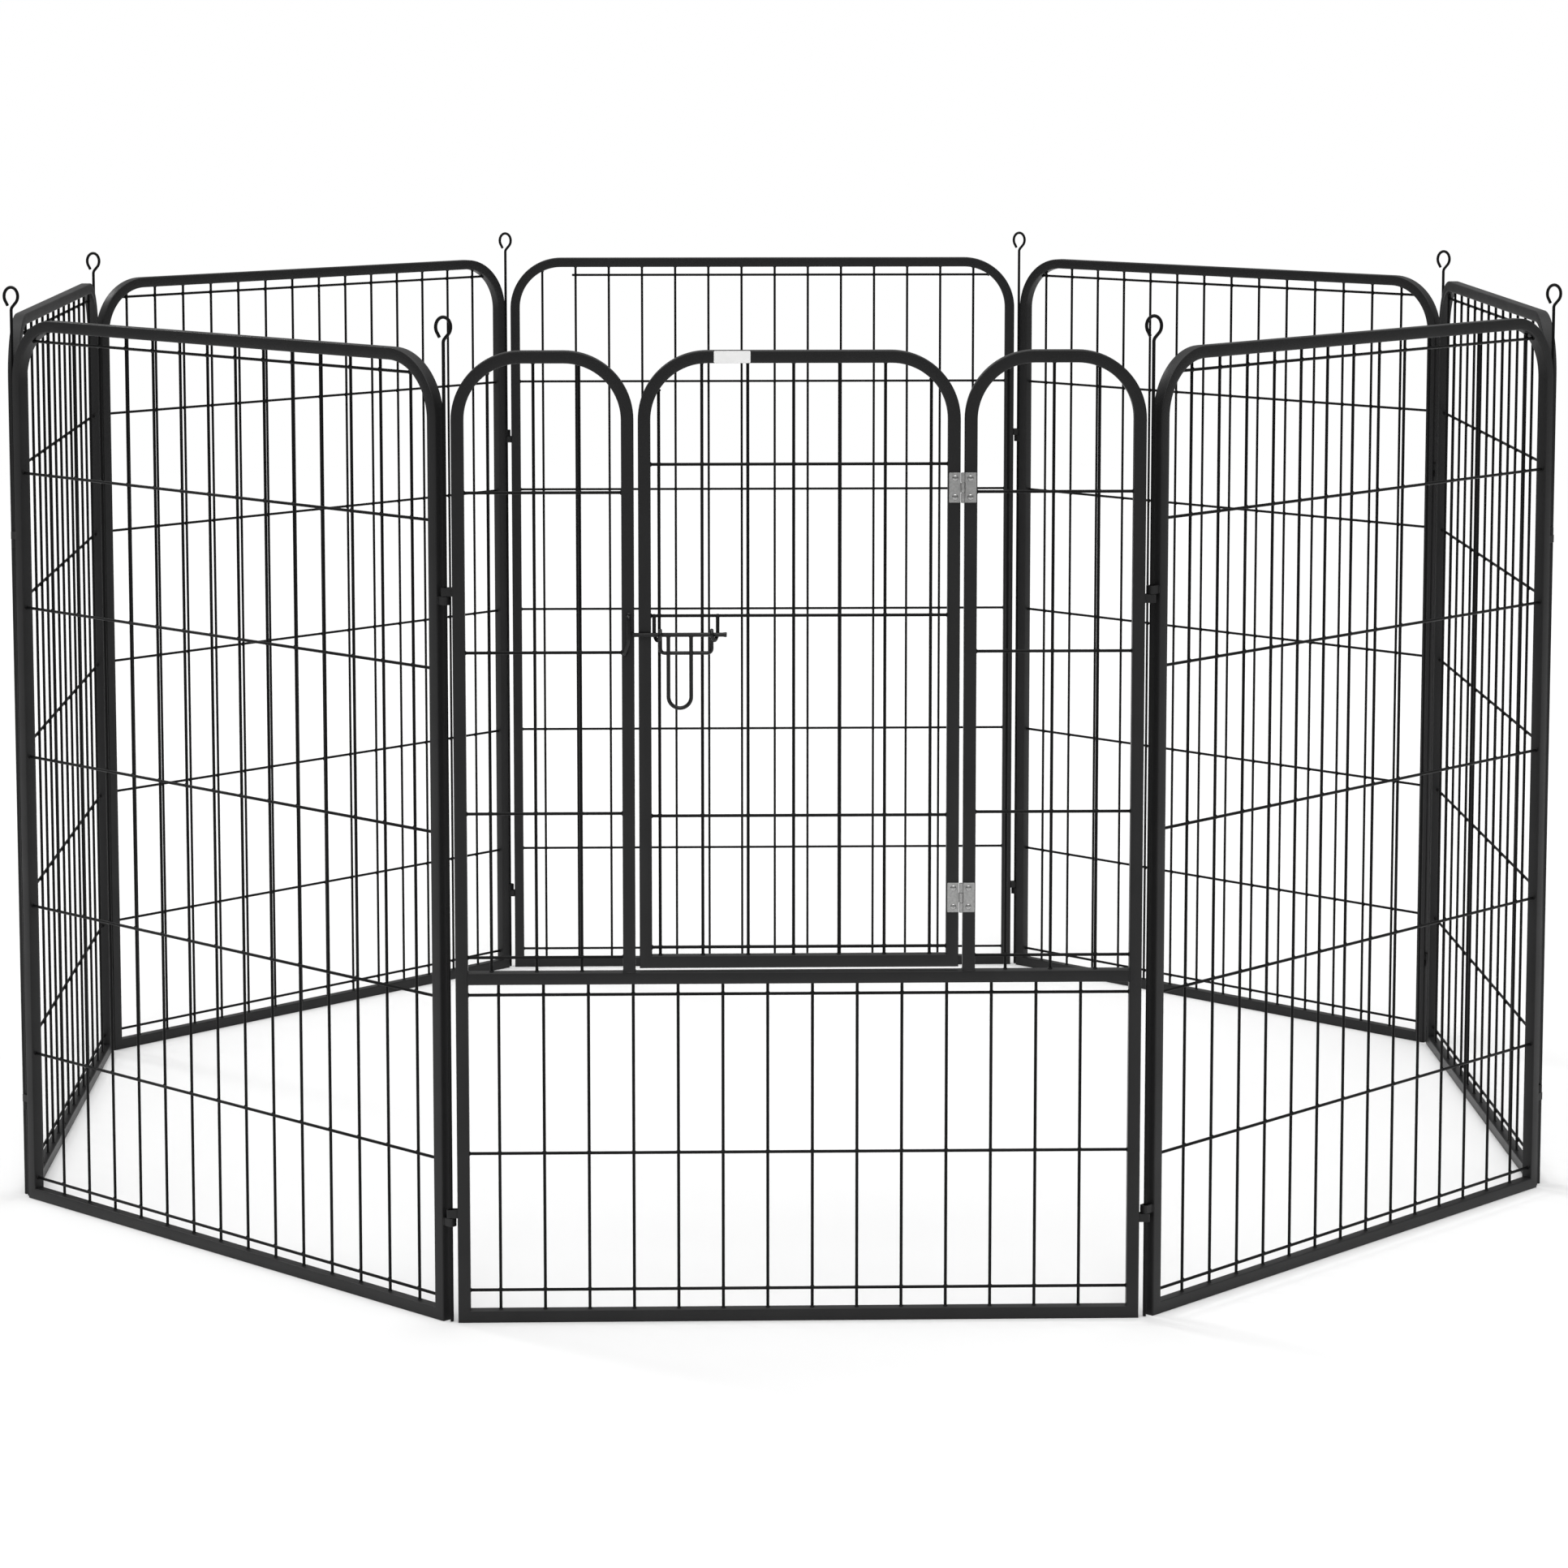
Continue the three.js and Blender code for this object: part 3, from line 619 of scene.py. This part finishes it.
ZINC = zinc_plate(
    "zinc plate",
    dark=(0.33, 0.33, 0.326),
    light=(0.46, 0.46, 0.455),
    roughness=0.44,
    cloud_depth=0.00004,
)
RIVET_ZINC = zinc_plate(
    "rivet zinc",
    dark=(0.32, 0.32, 0.316),
    light=(0.40, 0.40, 0.396),
    roughness=0.22,
    cloud_depth=0.00001,
)
LABEL_FILM = label_film()

# ---- Panel tubes


def arch_path(left, right, top, radius):
    """Over an arch from its left side to its right, without the legs below."""
    half = math.pi / 2
    return [
        *arc_points((left + radius, top - radius), radius, math.pi, half, SHOULDER_STEPS),
        *arc_points((right - radius, top - radius), radius, half, 0, SHOULDER_STEPS),
    ]


def tube_line(left, right, bottom, top):
    """The centre line of a closed tube with square feet and rounded shoulders."""
    inset = TUBE / 2
    over = arch_path(left + inset, right - inset, top - inset, SHOULDER_RADIUS - inset)
    feet = [Vector((right - inset, bottom + inset)), Vector((left + inset, bottom + inset))]
    return [*over, *feet]


def standard_tube(bm):
    path = tube_line(-HALF_PANEL, HALF_PANEL, 0, PANEL_HEIGHT)
    flat_sweep(bm, path, tube_section(), closed=True)


def leaf_tube(bm):
    path = tube_line(-LEAF_HALF_WIDTH, LEAF_HALF_WIDTH, LEAF_LOW.z, LEAF_HIGH.z)
    flat_sweep(bm, path, tube_section(), closed=True)


def door_panel_tube(bm):
    """Two arches on a full-width base, bent from one tube, with the rail under the doorway."""
    inset = TUBE / 2
    radius = SHOULDER_RADIUS - inset
    top = PANEL_HEIGHT - inset
    outer, inner = HALF_PANEL - inset, ARCH_EDGE + inset
    left_arch = arch_path(-outer, -inner, top, radius)
    right_arch = arch_path(inner, outer, top, radius)
    foot = MID_RAIL_TOP - BUTT_SINK
    path = [
        Vector((-inner, foot)),
        *reversed(left_arch),
        Vector((-outer, inset)),
        Vector((outer, inset)),
        *reversed(right_arch),
        Vector((inner, foot)),
    ]
    flat_sweep(bm, path, tube_section())
    end = HALF_PANEL - TUBE + BUTT_SINK
    rail = [Vector((-end, MID_RAIL_TOP - inset)), Vector((end, MID_RAIL_TOP - inset))]
    flat_sweep(bm, rail, tube_section())
    turn = Matrix.Rotation(math.pi / 2, 4, "Y")
    for side in (-1, 1):
        weld_ring(bm, Matrix.Translation((side * inner, 0, MID_RAIL_TOP)))
        rail_end = (side * (HALF_PANEL - TUBE), 0, MID_RAIL_TOP - inset)
        weld_ring(bm, Matrix.Translation(rail_end) @ turn)


def weld_ring(bm, place):
    """The fillet of weld round a butted tube end, rippled like a hand-laid bead."""
    half = TUBE / 2 - WELD_INSET
    outline = rounded_rectangle(half, half, TUBE_EDGE, EDGE_STEPS)
    ripple, pitch = WELD_RIPPLE
    rings = []
    count = len(outline)
    for i in range(WELD_STEPS):
        share = i / WELD_STEPS * count
        a, b = outline[int(share) % count], outline[(int(share) + 1) % count]
        spot = a.lerp(b, share % 1)
        outwards = spot.normalized()
        radius = WELD_RADIUS * (1 + ripple * math.sin(i * pitch))
        ring = []
        for j in range(WELD_SIDES):
            angle = 2 * math.pi * j / WELD_SIDES
            point = spot + outwards * radius * math.cos(angle)
            ring.append(bm.verts.new(place @ Vector((*point, radius * math.sin(angle)))))
        rings.append(ring)
    bridge(bm, rings, closed=True)


# ---- Corner loops


def strap_outline(side):
    """A strap bent into a U round the rod, seen from above, its legs against the stile."""
    axis = side * (HALF_PANEL + ROD_GAP)
    stile = side * (HALF_PANEL - BUTT_SINK)
    inner_half = LOOP_HALF_WIDTH - LOOP_THICK
    outside = strap_line(LOOP_HALF_WIDTH, LOOP_BEND)
    inside = strap_line(inner_half, LOOP_BEND - LOOP_THICK)
    line = [Vector((axis + side * p.x, p.y)) for p in outside]
    back = [Vector((axis + side * p.x, p.y)) for p in reversed(inside)]
    legs = [Vector((stile, y)) for y in (-LOOP_HALF_WIDTH, LOOP_HALF_WIDTH)]
    inner_legs = [Vector((stile, y)) for y in (inner_half, -inner_half)]
    return [legs[0], *line, legs[1], inner_legs[0], *back, inner_legs[1]]


def strap_line(half, bend):
    """The far end of a U, with the rod's axis at the origin and the stile on the -x side."""
    quarter = math.pi / 2
    return [
        *arc_points((half - bend, bend - half), bend, -quarter, 0, LOOP_BEND_STEPS),
        *arc_points((half - bend, half - bend), bend, 0, quarter, LOOP_BEND_STEPS),
    ]


def corner_loops(bm):
    """Each +x stile carries the lower loops of its corner, and the -x stile the upper ones."""
    for height in LOOP_HEIGHTS:
        for side in (1, -1):
            low = height + LOOP_GAP / 2 if side < 0 else height - LOOP_GAP / 2 - LOOP_TALL
            prism(bm, strap_outline(side), low, low + LOOP_TALL)


def loop_welds(bm):
    """A short fillet on the outer side of each strap leg, where it meets the stile."""
    for height in LOOP_HEIGHTS:
        for side in (1, -1):
            middle = height - side * (LOOP_GAP + LOOP_TALL) / 2
            for y in (-LOOP_HALF_WIDTH, LOOP_HALF_WIDTH):
                spots = [
                    Vector((side * HALF_PANEL, y, middle + share * LOOP_TALL))
                    for share in LOOP_WELD_SPOTS
                ]
                round_wire(bm, spots, LOOP_WELD, sides=LOOP_WELD_SIDES)


# ---- Wire grids


def shoulder_cut(radius, distance):
    """How far a rounded shoulder cuts in at a distance from the straight edge beside it."""
    left = radius - distance
    return radius - math.sqrt(radius * radius - left * left) if left > 0 else 0.0


def bead(bm, spot, direction):
    """The weld at a wire's end, spread over the tube's wall."""
    turn = Vector((0, 0, 1)).rotation_difference(direction).to_matrix().to_4x4()
    radius, height = BEAD
    blob(bm, spot, (radius, radius, height), turn)


def grid_wires(bm, opening, columns, rows, top_right_end=math.inf):
    """Uprights on the inner side, cross wires on the outer side, welded wherever they cross."""
    left, right, bottom, top, radius = opening
    for x in columns:
        high = top - shoulder_cut(radius, min(x - left, right - x))
        ends = [Vector((x, WIRE_OFFSET, bottom)), Vector((x, WIRE_OFFSET, high))]
        sink = Vector((0, 0, WIRE_SINK))
        round_wire(bm, [ends[0] - sink, ends[1] + sink], WIRE_RADIUS, rounded=False)
        bead(bm, ends[0], Vector((0, 0, 1)))
        bead(bm, ends[1], Vector((0, 0, -1)))
    for z in rows:
        cut = shoulder_cut(radius, top - z)
        ends = [Vector((left + cut, -WIRE_OFFSET, z)), Vector((right - cut, -WIRE_OFFSET, z))]
        sink = Vector((WIRE_SINK, 0, 0))
        stops_short = z == rows[-1] and top_right_end < right
        stop = Vector((top_right_end, -WIRE_OFFSET, z)) if stops_short else ends[1] + sink
        round_wire(bm, [ends[0] - sink, stop], WIRE_RADIUS, rounded=True)
        bead(bm, ends[0], Vector((1, 0, 0)))
        if not stops_short:
            bead(bm, ends[1], Vector((-1, 0, 0)))
        for x in columns:
            if x < stop.x:
                blob(bm, Vector((x, 0, z)), (NUGGET[0], NUGGET[1], NUGGET[0]))


def opening_inside(left, right, bottom, top, radius=SHOULDER_RADIUS):
    """The clear opening inside a tube's outer outline."""
    return left + TUBE, right - TUBE, bottom + TUBE, top - TUBE, max(radius - TUBE, 0.0)


def standard_grid(bm):
    opening = opening_inside(-HALF_PANEL, HALF_PANEL, 0, PANEL_HEIGHT)
    grid_wires(bm, opening, STANDARD_COLUMNS, STANDARD_ROWS)


def back_grid(bm):
    """As in the other panels, but the top cross wire stops just past the last upright but one."""
    opening = opening_inside(-HALF_PANEL, HALF_PANEL, 0, PANEL_HEIGHT)
    top_right_end = STANDARD_COLUMNS[-2] + WIRE_OVERHANG
    grid_wires(bm, opening, STANDARD_COLUMNS, STANDARD_ROWS, top_right_end)


def lower_grid(bm):
    opening = opening_inside(-HALF_PANEL, HALF_PANEL, 0, MID_RAIL_TOP, 0.0)
    grid_wires(bm, opening, LOWER_COLUMNS, LOWER_ROWS)


def left_arch_grid(bm):
    opening = opening_inside(-HALF_PANEL, -ARCH_EDGE, MID_RAIL_TOP - TUBE, PANEL_HEIGHT)
    grid_wires(bm, opening, LEFT_ARCH_COLUMNS, ARCH_ROWS)


def right_arch_grid(bm):
    opening = opening_inside(ARCH_EDGE, HALF_PANEL, MID_RAIL_TOP - TUBE, PANEL_HEIGHT)
    grid_wires(bm, opening, RIGHT_ARCH_COLUMNS, ARCH_ROWS)


def leaf_grid(bm):
    opening = opening_inside(-LEAF_HALF_WIDTH, LEAF_HALF_WIDTH, LEAF_LOW.z, LEAF_HIGH.z)
    grid_wires(bm, opening, LEAF_COLUMNS, LEAF_ROWS)


# ---- Corner rods


def corner_rod(bm):
    """A long rod that stands on the floor, with an open finger ring bent from its top."""
    start, end = -EYE_OPEN_ANGLE, math.pi + EYE_OPEN_ANGLE
    circle = arc_points((0, 0), EYE_RADIUS, start, end, EYE_STEPS)
    ring = [Vector((p.x, 0, EYE_CENTRE_Z + p.y * EYE_STRETCH)) for p in circle]
    stem = bent([(0, 0, ROD_FOOT), (0, 0, EYE_BEND_Z), ring[0]], EYE_BEND)
    tip = Vector((EYE_TIP[0], 0, EYE_TIP[1]))
    line = [*stem, *ring[1:], ring[-1].lerp(tip, 0.5), tip]
    round_wire(bm, line, ROD_RADIUS, sides=ROD_SIDES)


# ---- Door hinges


def leaf_sheet(near, far, half_tall):
    """A hinge leaf's plate, seen square on, with the two corners away from the pin rounded."""
    turn = math.pi / 2
    outer = far - HINGE_CORNER
    upper = half_tall - HINGE_CORNER
    lower_arc = arc_points((outer, -upper), HINGE_CORNER, -turn, 0, HINGE_CORNER_STEPS)
    upper_arc = arc_points((outer, upper), HINGE_CORNER, 0, turn, HINGE_CORNER_STEPS)
    return [Vector((near, -half_tall)), *lower_arc, *upper_arc, Vector((near, half_tall))]


def hinge_leaf(bm, label, side):
    """One leaf of a butt hinge in place, with its knuckles rolled round the pin."""
    pin = DOOR_INVERSE @ box_centre(f"{label}_hinge_pin")
    tall, reach = hinge_leaf_size(label, side)
    back = Matrix.Translation((pin.x, FACE - HINGE_GAP, pin.z))
    place = back @ Matrix.Rotation(math.pi / 2, 4, "X") @ Matrix.Diagonal((side, 1, 1, 1))
    near = KNUCKLE_RADIUS + HINGE_NOTCH
    prism(bm, leaf_sheet(near, reach, tall / 2), 0, HINGE_PLATE, place)
    row = (tall - 2 * KNUCKLE_GAP) / 3
    rows = (0, 2) if side > 0 else (1,)
    for index in rows:
        start = index * (row + KNUCKLE_GAP) - tall / 2
        end = start + row
        knuckle_tube(bm, pin, pin.z + start, pin.z + end)
        tab = [Vector(p) for p in ((0, start), (near, start), (near, end), (0, end))]
        prism(bm, tab, 0, HINGE_PLATE, place)


def hinge_leaf_size(label, side):
    """How tall a leaf is, and how far it reaches from the pin's axis."""
    size = box_size(f"{label}_hinge_{'fixed' if side > 0 else 'door'}_leaf")
    return size.z, size.x - KNUCKLE_RADIUS


def knuckle_tube(bm, pin, low, high):
    """A short tube round the pin."""
    bore, outside = KNUCKLE_BORE, KNUCKLE_RADIUS
    loops = []
    for radius, height in ((bore, low), (outside, low), (outside, high), (bore, high)):
        ring = arc_points((pin.x, pin.y), radius, 0, 2 * math.pi, KNUCKLE_STEPS)[:-1]
        loops.append([bm.verts.new((p.x, p.y, height)) for p in ring])
    bridge(bm, loops, closed=True)


def hinge_pin(bm, label):
    """The pin, with its ends peened into shallow domes over the knuckles."""
    low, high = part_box(f"{label}_hinge_pin")
    spot = DOOR_INVERSE @ box_centre(f"{label}_hinge_pin")
    half = hinge_leaf_size(label, 1)[0] / 2
    head = (high.x - low.x) / 2
    share, rise = PIN_DOME_STEP
    upper_half = [
        (PIN_RADIUS, half),
        (head, half),
        (head * share, half + PIN_DOME * rise),
        (0, half + PIN_DOME),
    ]
    lower_half = [(radius, -height) for radius, height in reversed(upper_half)]
    turned(bm, lower_half + upper_half, PIN_SIDES, Matrix.Translation(spot))


def rivet(bm, node):
    """A blind rivet: a domed head with the small hollow that the mandrel leaves."""
    spot = DOOR_INVERSE @ box_centre(node)
    seat = FACE - HINGE_GAP - HINGE_PLATE
    rim = math.acos(MANDREL_RADIUS / RIVET_RADIUS)
    profile = [(0, seat + RIVET_DEPTH), (RIVET_SHANK, seat + RIVET_DEPTH), (RIVET_SHANK, seat)]
    for i in range(RIVET_STEPS + 1):
        angle = rim * i / RIVET_STEPS
        profile.append((RIVET_RADIUS * math.cos(angle), seat - RIVET_TALL * math.sin(angle)))
    hollow = seat - RIVET_TALL + MANDREL_DEPTH
    profile += [(MANDREL_RADIUS * MANDREL_TAPER, hollow), (0, hollow)]
    upright = Matrix.Rotation(-math.pi / 2, 4, "X")
    turned(bm, profile, RIVET_SIDES, Matrix.Translation((spot.x, 0, spot.z)) @ upright)


# ---- Latch


def latch_line():
    """The bolt's axis: its tip and its end, in the door panel's frame."""
    low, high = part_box("latch_bolt")
    middle = DOOR_INVERSE @ box_centre("latch_bolt")
    return Vector((low.x, middle.y, middle.z)), Vector((high.x, middle.y, middle.z))


BOLT_TIP, BOLT_END = latch_line()
HANDLE_LOW, HANDLE_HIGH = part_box("latch_handle")
HANDLE_LEGS = (HANDLE_LOW.x + HANDLE_RADIUS, HANDLE_HIGH.x - HANDLE_RADIUS)


def latch_bolt(bm):
    """A round bolt with a worn nose and an end flared so that it can't leave the guide."""
    length = BOLT_END.x - BOLT_TIP.x
    head = [(radius, length - distance) for radius, distance in BOLT_HEAD]
    profile = [(0, 0), *BOLT_NOSE, *head, (0, length)]
    along = Matrix.Rotation(math.pi / 2, 4, "Y")
    turned(bm, profile, BOLT_SIDES, Matrix.Translation(BOLT_TIP) @ along)


def latch_handle(bm):
    """The hanging U of the handle, each leg welded to the underside of the bolt."""
    left, right = HANDLE_LEGS
    bend = (right - left) / 2
    centre = ((left + right) / 2, HANDLE_LOW.z + HANDLE_RADIUS + bend)
    u = arc_points(centre, bend, math.pi, 2 * math.pi, HANDLE_STEPS)
    seat = BOLT_TIP.z - BOLT_RADIUS
    line = [Vector((left, seat + HANDLE_SINK)), *u, Vector((right, seat + HANDLE_SINK))]
    points = [(p.x, BOLT_TIP.y, p.y) for p in line]
    round_wire(bm, points, HANDLE_RADIUS, sides=HANDLE_SIDES, rounded=False)
    for x in HANDLE_LEGS:
        blob(bm, Vector((x, BOLT_TIP.y, seat)), HANDLE_WELD)


def coil(from_x, to_x):
    """One turn of the guide's wire: under the bolt as it moves along, up in front and over."""
    points = []
    for i in range(COIL_STEPS + 1):
        angle = 2 * math.pi * i / COIL_STEPS
        along = min(angle / math.pi, 1)
        drop = COIL_RADIUS + (COIL_SAG if angle < math.pi else 0)
        x = from_x + (to_x - from_x) * along
        y = BOLT_TIP.y + COIL_RADIUS * math.cos(angle)
        points.append(Vector((x, y, BOLT_TIP.z - drop * math.sin(angle))))
    return points


def latch_guide(bm):
    """One bent wire: down from the door's cross wire, round the bolt, along, round and up."""
    back = BOLT_TIP.y + COIL_RADIUS
    cross_wire = LEAF_ROWS[2]
    top = cross_wire + WIRE_RADIUS
    (left, right), (left_end, right_end) = GUIDE_STRANDS, GUIDE_BAR_ENDS
    corners = [
        (left_end, back, BOLT_TIP.z),
        (left_end, back, GUIDE_BAR_Z),
        (right_end, back, GUIDE_BAR_Z),
        (right_end, back, BOLT_TIP.z),
    ]
    points = [
        Vector((left, back, top)),
        *coil(left, left_end),
        *bent(corners, GUIDE_BEND)[1:-1],
        *reversed(coil(right, right_end)),
        Vector((right, back, top)),
    ]
    round_wire(bm, points, GUIDE_RADIUS, sides=GUIDE_SIDES)
    for x in GUIDE_STRANDS:
        blob(bm, Vector((x, (back - WIRE_OFFSET) / 2, cross_wire)), GUIDE_WELD)


def latch_keeper(bm):
    """A wire staple that stands off the fixed stile, for the bolt to pass behind."""
    out = FACE - KEEPER_OUT
    tail_x, tail_z = KEEPER_TAIL
    corners = [
        (KEEPER_X, FACE + KEEPER_SINK, KEEPER_TOP_Z),
        (KEEPER_X, out, KEEPER_TOP_Z),
        (KEEPER_X, out, KEEPER_BOTTOM_Z),
        (tail_x, FACE - KEEPER_RADIUS, tail_z),
    ]
    round_wire(bm, bent(corners, KEEPER_BEND), KEEPER_RADIUS, sides=KEEPER_SIDES)
    blob(bm, Vector((KEEPER_X, FACE, KEEPER_TOP_Z)), KEEPER_TOP_WELD)
    blob(bm, Vector((tail_x, FACE, tail_z + KEEPER_TAIL_WELD_RISE)), KEEPER_TAIL_WELD)


# ---- Label


def blank_label(bm):
    """A thin film with rounded corners, stuck to the door's top rail."""
    size = box_size("blank_label")
    spot = DOOR_INVERSE @ box_centre("blank_label")
    outline = rounded_rectangle(size.x / 2, size.z / 2, LABEL_CORNER, LABEL_CORNER_STEPS)
    face = Matrix.Translation((spot.x, FACE, spot.z)) @ Matrix.Rotation(math.pi / 2, 4, "X")
    prism(bm, outline, 0, LABEL_THICK, face)


# ---- Assembly


def build(name, shapes, material, body, slot, place=DOOR_PLACE, nodes=(), bevel=0.0):
    """Makes a piece from one or more functions that add to its mesh."""
    bm = bmesh.new()
    for shape in shapes:
        shape(bm)
    return finished(name, bm, material, body, place, nodes, bevel)


def add_panel(index):
    name = PANEL_NAMES[index]
    body = f"{name}_panel"
    place = panel_place(index)
    tube = door_panel_tube if name == DOOR else standard_tube
    coat = (FRAME_COAT, body, "frame_powder_coat", place)
    build(f"{body}_tube", [tube], *coat, nodes=[f"{body}_frame"])
    build(f"{body}_corner_loops", [corner_loops, loop_welds], *coat, bevel=LOOP_BEVEL)
    if name != DOOR:
        grid = back_grid if name == "back" else standard_grid
        coat = (WIRE_COAT, body, "wire_powder_coat", place)
        build(f"{body}_wires", [grid], *coat, nodes=[f"{body}_grid"])


def add_door_grids():
    coat = (WIRE_COAT, "door_panel", "wire_powder_coat")
    shapes = {"left": left_arch_grid, "right": right_arch_grid, "lower": lower_grid}
    for part, shape in shapes.items():
        build(f"door_panel_{part}_wires", [shape], *coat, nodes=[f"door_panel_{part}_grid"])


def add_leaf():
    body = "door_leaf"
    tube_coat = (FRAME_COAT, body, "frame_powder_coat")
    grid_coat = (WIRE_COAT, body, "wire_powder_coat")
    build("door_leaf_tube", [leaf_tube], *tube_coat, nodes=["door_leaf_frame"])
    build("door_leaf_wires", [leaf_grid], *grid_coat, nodes=["door_leaf_grid"])


def add_hinge_half(label, part, side, body):
    """One leaf of a hinge, with the two rivets that hold it."""
    node = f"{label}_hinge_{part}_leaf"
    plate = [lambda bm: hinge_leaf(bm, label, side)]
    build(f"{node}_plate", plate, ZINC, body, "zinc_plate", nodes=[node], bevel=HINGE_BEVEL)
    for end in ("top", "bottom"):
        node = f"{label}_hinge_{part}_rivet_{end}"
        head = [lambda bm: rivet(bm, node)]
        build(f"{node}_head", head, RIVET_ZINC, body, "zinc_plate", nodes=[node])


def add_hinges():
    for label in ("upper", "lower"):
        node = f"{label}_hinge_pin"
        pin = [lambda bm: hinge_pin(bm, label)]
        build(f"{node}_round", pin, ZINC, "door_panel", "zinc_plate", nodes=[node])
        add_hinge_half(label, "fixed", 1, "door_panel")
        add_hinge_half(label, "door", -1, "door_leaf")


def add_latch():
    for node, shape, body in (
        ("latch_keeper", latch_keeper, "door_panel"),
        ("latch_guide", latch_guide, "door_leaf"),
        ("latch_bolt", latch_bolt, "latch_bolt"),
        ("latch_handle", latch_handle, "latch_handle"),
    ):
        build(f"{node}_wire", [shape], LATCH_COAT, body, "latch_powder_coat", nodes=[node])


def add_rods():
    for k, spot in enumerate(ROD_SPOTS):
        node = f"corner_rod_{k + 1}"
        place = Matrix.Translation(spot.to_3d())
        build(f"{node}_round", [corner_rod], ROD_COAT, node, "rod_powder_coat", place, [node])


def add_label():
    coat = (LABEL_FILM, "door_leaf", "label_film")
    build("blank_label_film", [blank_label], *coat, nodes=["blank_label"])


# ---- Studio


def add_floor():
    """A plain white floor that fades out before the horizon, so that no edge shows."""
    material, tree, shader = new_material("floor paper")
    where = tree.nodes.new("ShaderNodeTexCoord")
    fibre = noise(tree, where.outputs["Object"], FLOOR_FIBRE, detail=3.0, roughness=0.6)
    shader.inputs["Base Color"].default_value = (*FLOOR_WHITE, 1)
    shader.inputs["Specular IOR Level"].default_value = FLOOR_SPECULAR
    roughness = mapped(tree, fibre, *NOISE_SPREAD, *FLOOR_ROUGHNESS)
    tree.links.new(roughness, shader.inputs["Roughness"])
    distance = add_node(tree, "ShaderNodeVectorMath")
    distance.operation = "LENGTH"
    tree.links.new(where.outputs["Object"], distance.inputs[0])
    fade = mapped(tree, distance.outputs["Value"], *FLOOR_FADE, 1, 0)
    tree.links.new(fade, shader.inputs["Alpha"])
    half = FLOOR_FADE[1]
    corners = [(-half, -half, 0), (half, -half, 0), (half, half, 0), (-half, half, 0)]
    mesh = bpy.data.meshes.new("floor")
    mesh.from_pydata(corners, [], [(0, 1, 2, 3)])
    mesh.materials.append(material)
    floor = bpy.data.objects.new("floor", mesh)
    bpy.context.scene.collection.objects.link(floor)


def add_sun(name, direction, spread, strength):
    """A large soft light, far away, that shines from a direction."""
    lamp = bpy.data.lights.new(name, "SUN")
    lamp.angle = math.radians(spread)
    lamp.energy = strength
    light = bpy.data.objects.new(name, lamp)
    light.rotation_euler = Vector(direction).to_track_quat("Z", "Y").to_euler()
    bpy.context.scene.collection.objects.link(light)


def add_world():
    """A white backdrop, and walls that light the object more from above than from the side."""
    world = bpy.data.worlds.new("studio")
    bpy.context.scene.world = world
    world.use_nodes = True
    tree = world.node_tree
    walls = tree.nodes["Background"]
    where = tree.nodes.new("ShaderNodeTexCoord")
    split = tree.nodes.new("ShaderNodeSeparateXYZ")
    tree.links.new(where.outputs["Generated"], split.inputs["Vector"])
    height = mapped(tree, split.outputs["Z"], 0, 1, 0, 1)
    tree.links.new(mixed_colour(tree, height, WALL_LOW, WALL_HIGH), walls.inputs["Color"])
    backdrop = add_node(tree, "ShaderNodeBackground", Color=(1, 1, 1, 1), Strength=1.0)
    rays = tree.nodes.new("ShaderNodeLightPath")
    mix = tree.nodes.new("ShaderNodeMixShader")
    tree.links.new(rays.outputs["Is Camera Ray"], mix.inputs["Fac"])
    tree.links.new(walls.outputs["Background"], mix.inputs[1])
    tree.links.new(backdrop.outputs["Background"], mix.inputs[2])
    tree.links.new(mix.outputs["Shader"], tree.nodes["World Output"].inputs["Surface"])


def add_camera():
    camera = bpy.data.cameras.new("camera")
    camera.lens = CAMERA_LENS
    camera.sensor_width = CAMERA_SENSOR
    camera.shift_y = CAMERA_SHIFT
    camera.clip_end = CAMERA_REACH
    view = bpy.data.objects.new("camera", camera)
    view.location = CAMERA_PLACE
    view.rotation_euler = (math.radians(90 + CAMERA_PITCH), 0, math.radians(CAMERA_TURN))
    bpy.context.scene.collection.objects.link(view)
    bpy.context.scene.camera = view


def add_studio():
    add_floor()
    add_world()
    for sun in SUNS:
        add_sun(*sun)
    add_camera()
    bpy.context.scene.view_settings.view_transform = "Standard"


for number in range(len(PANEL_NAMES)):
    add_panel(number)
add_door_grids()
add_leaf()
add_hinges()
add_latch()
add_rods()
add_label()
add_studio()
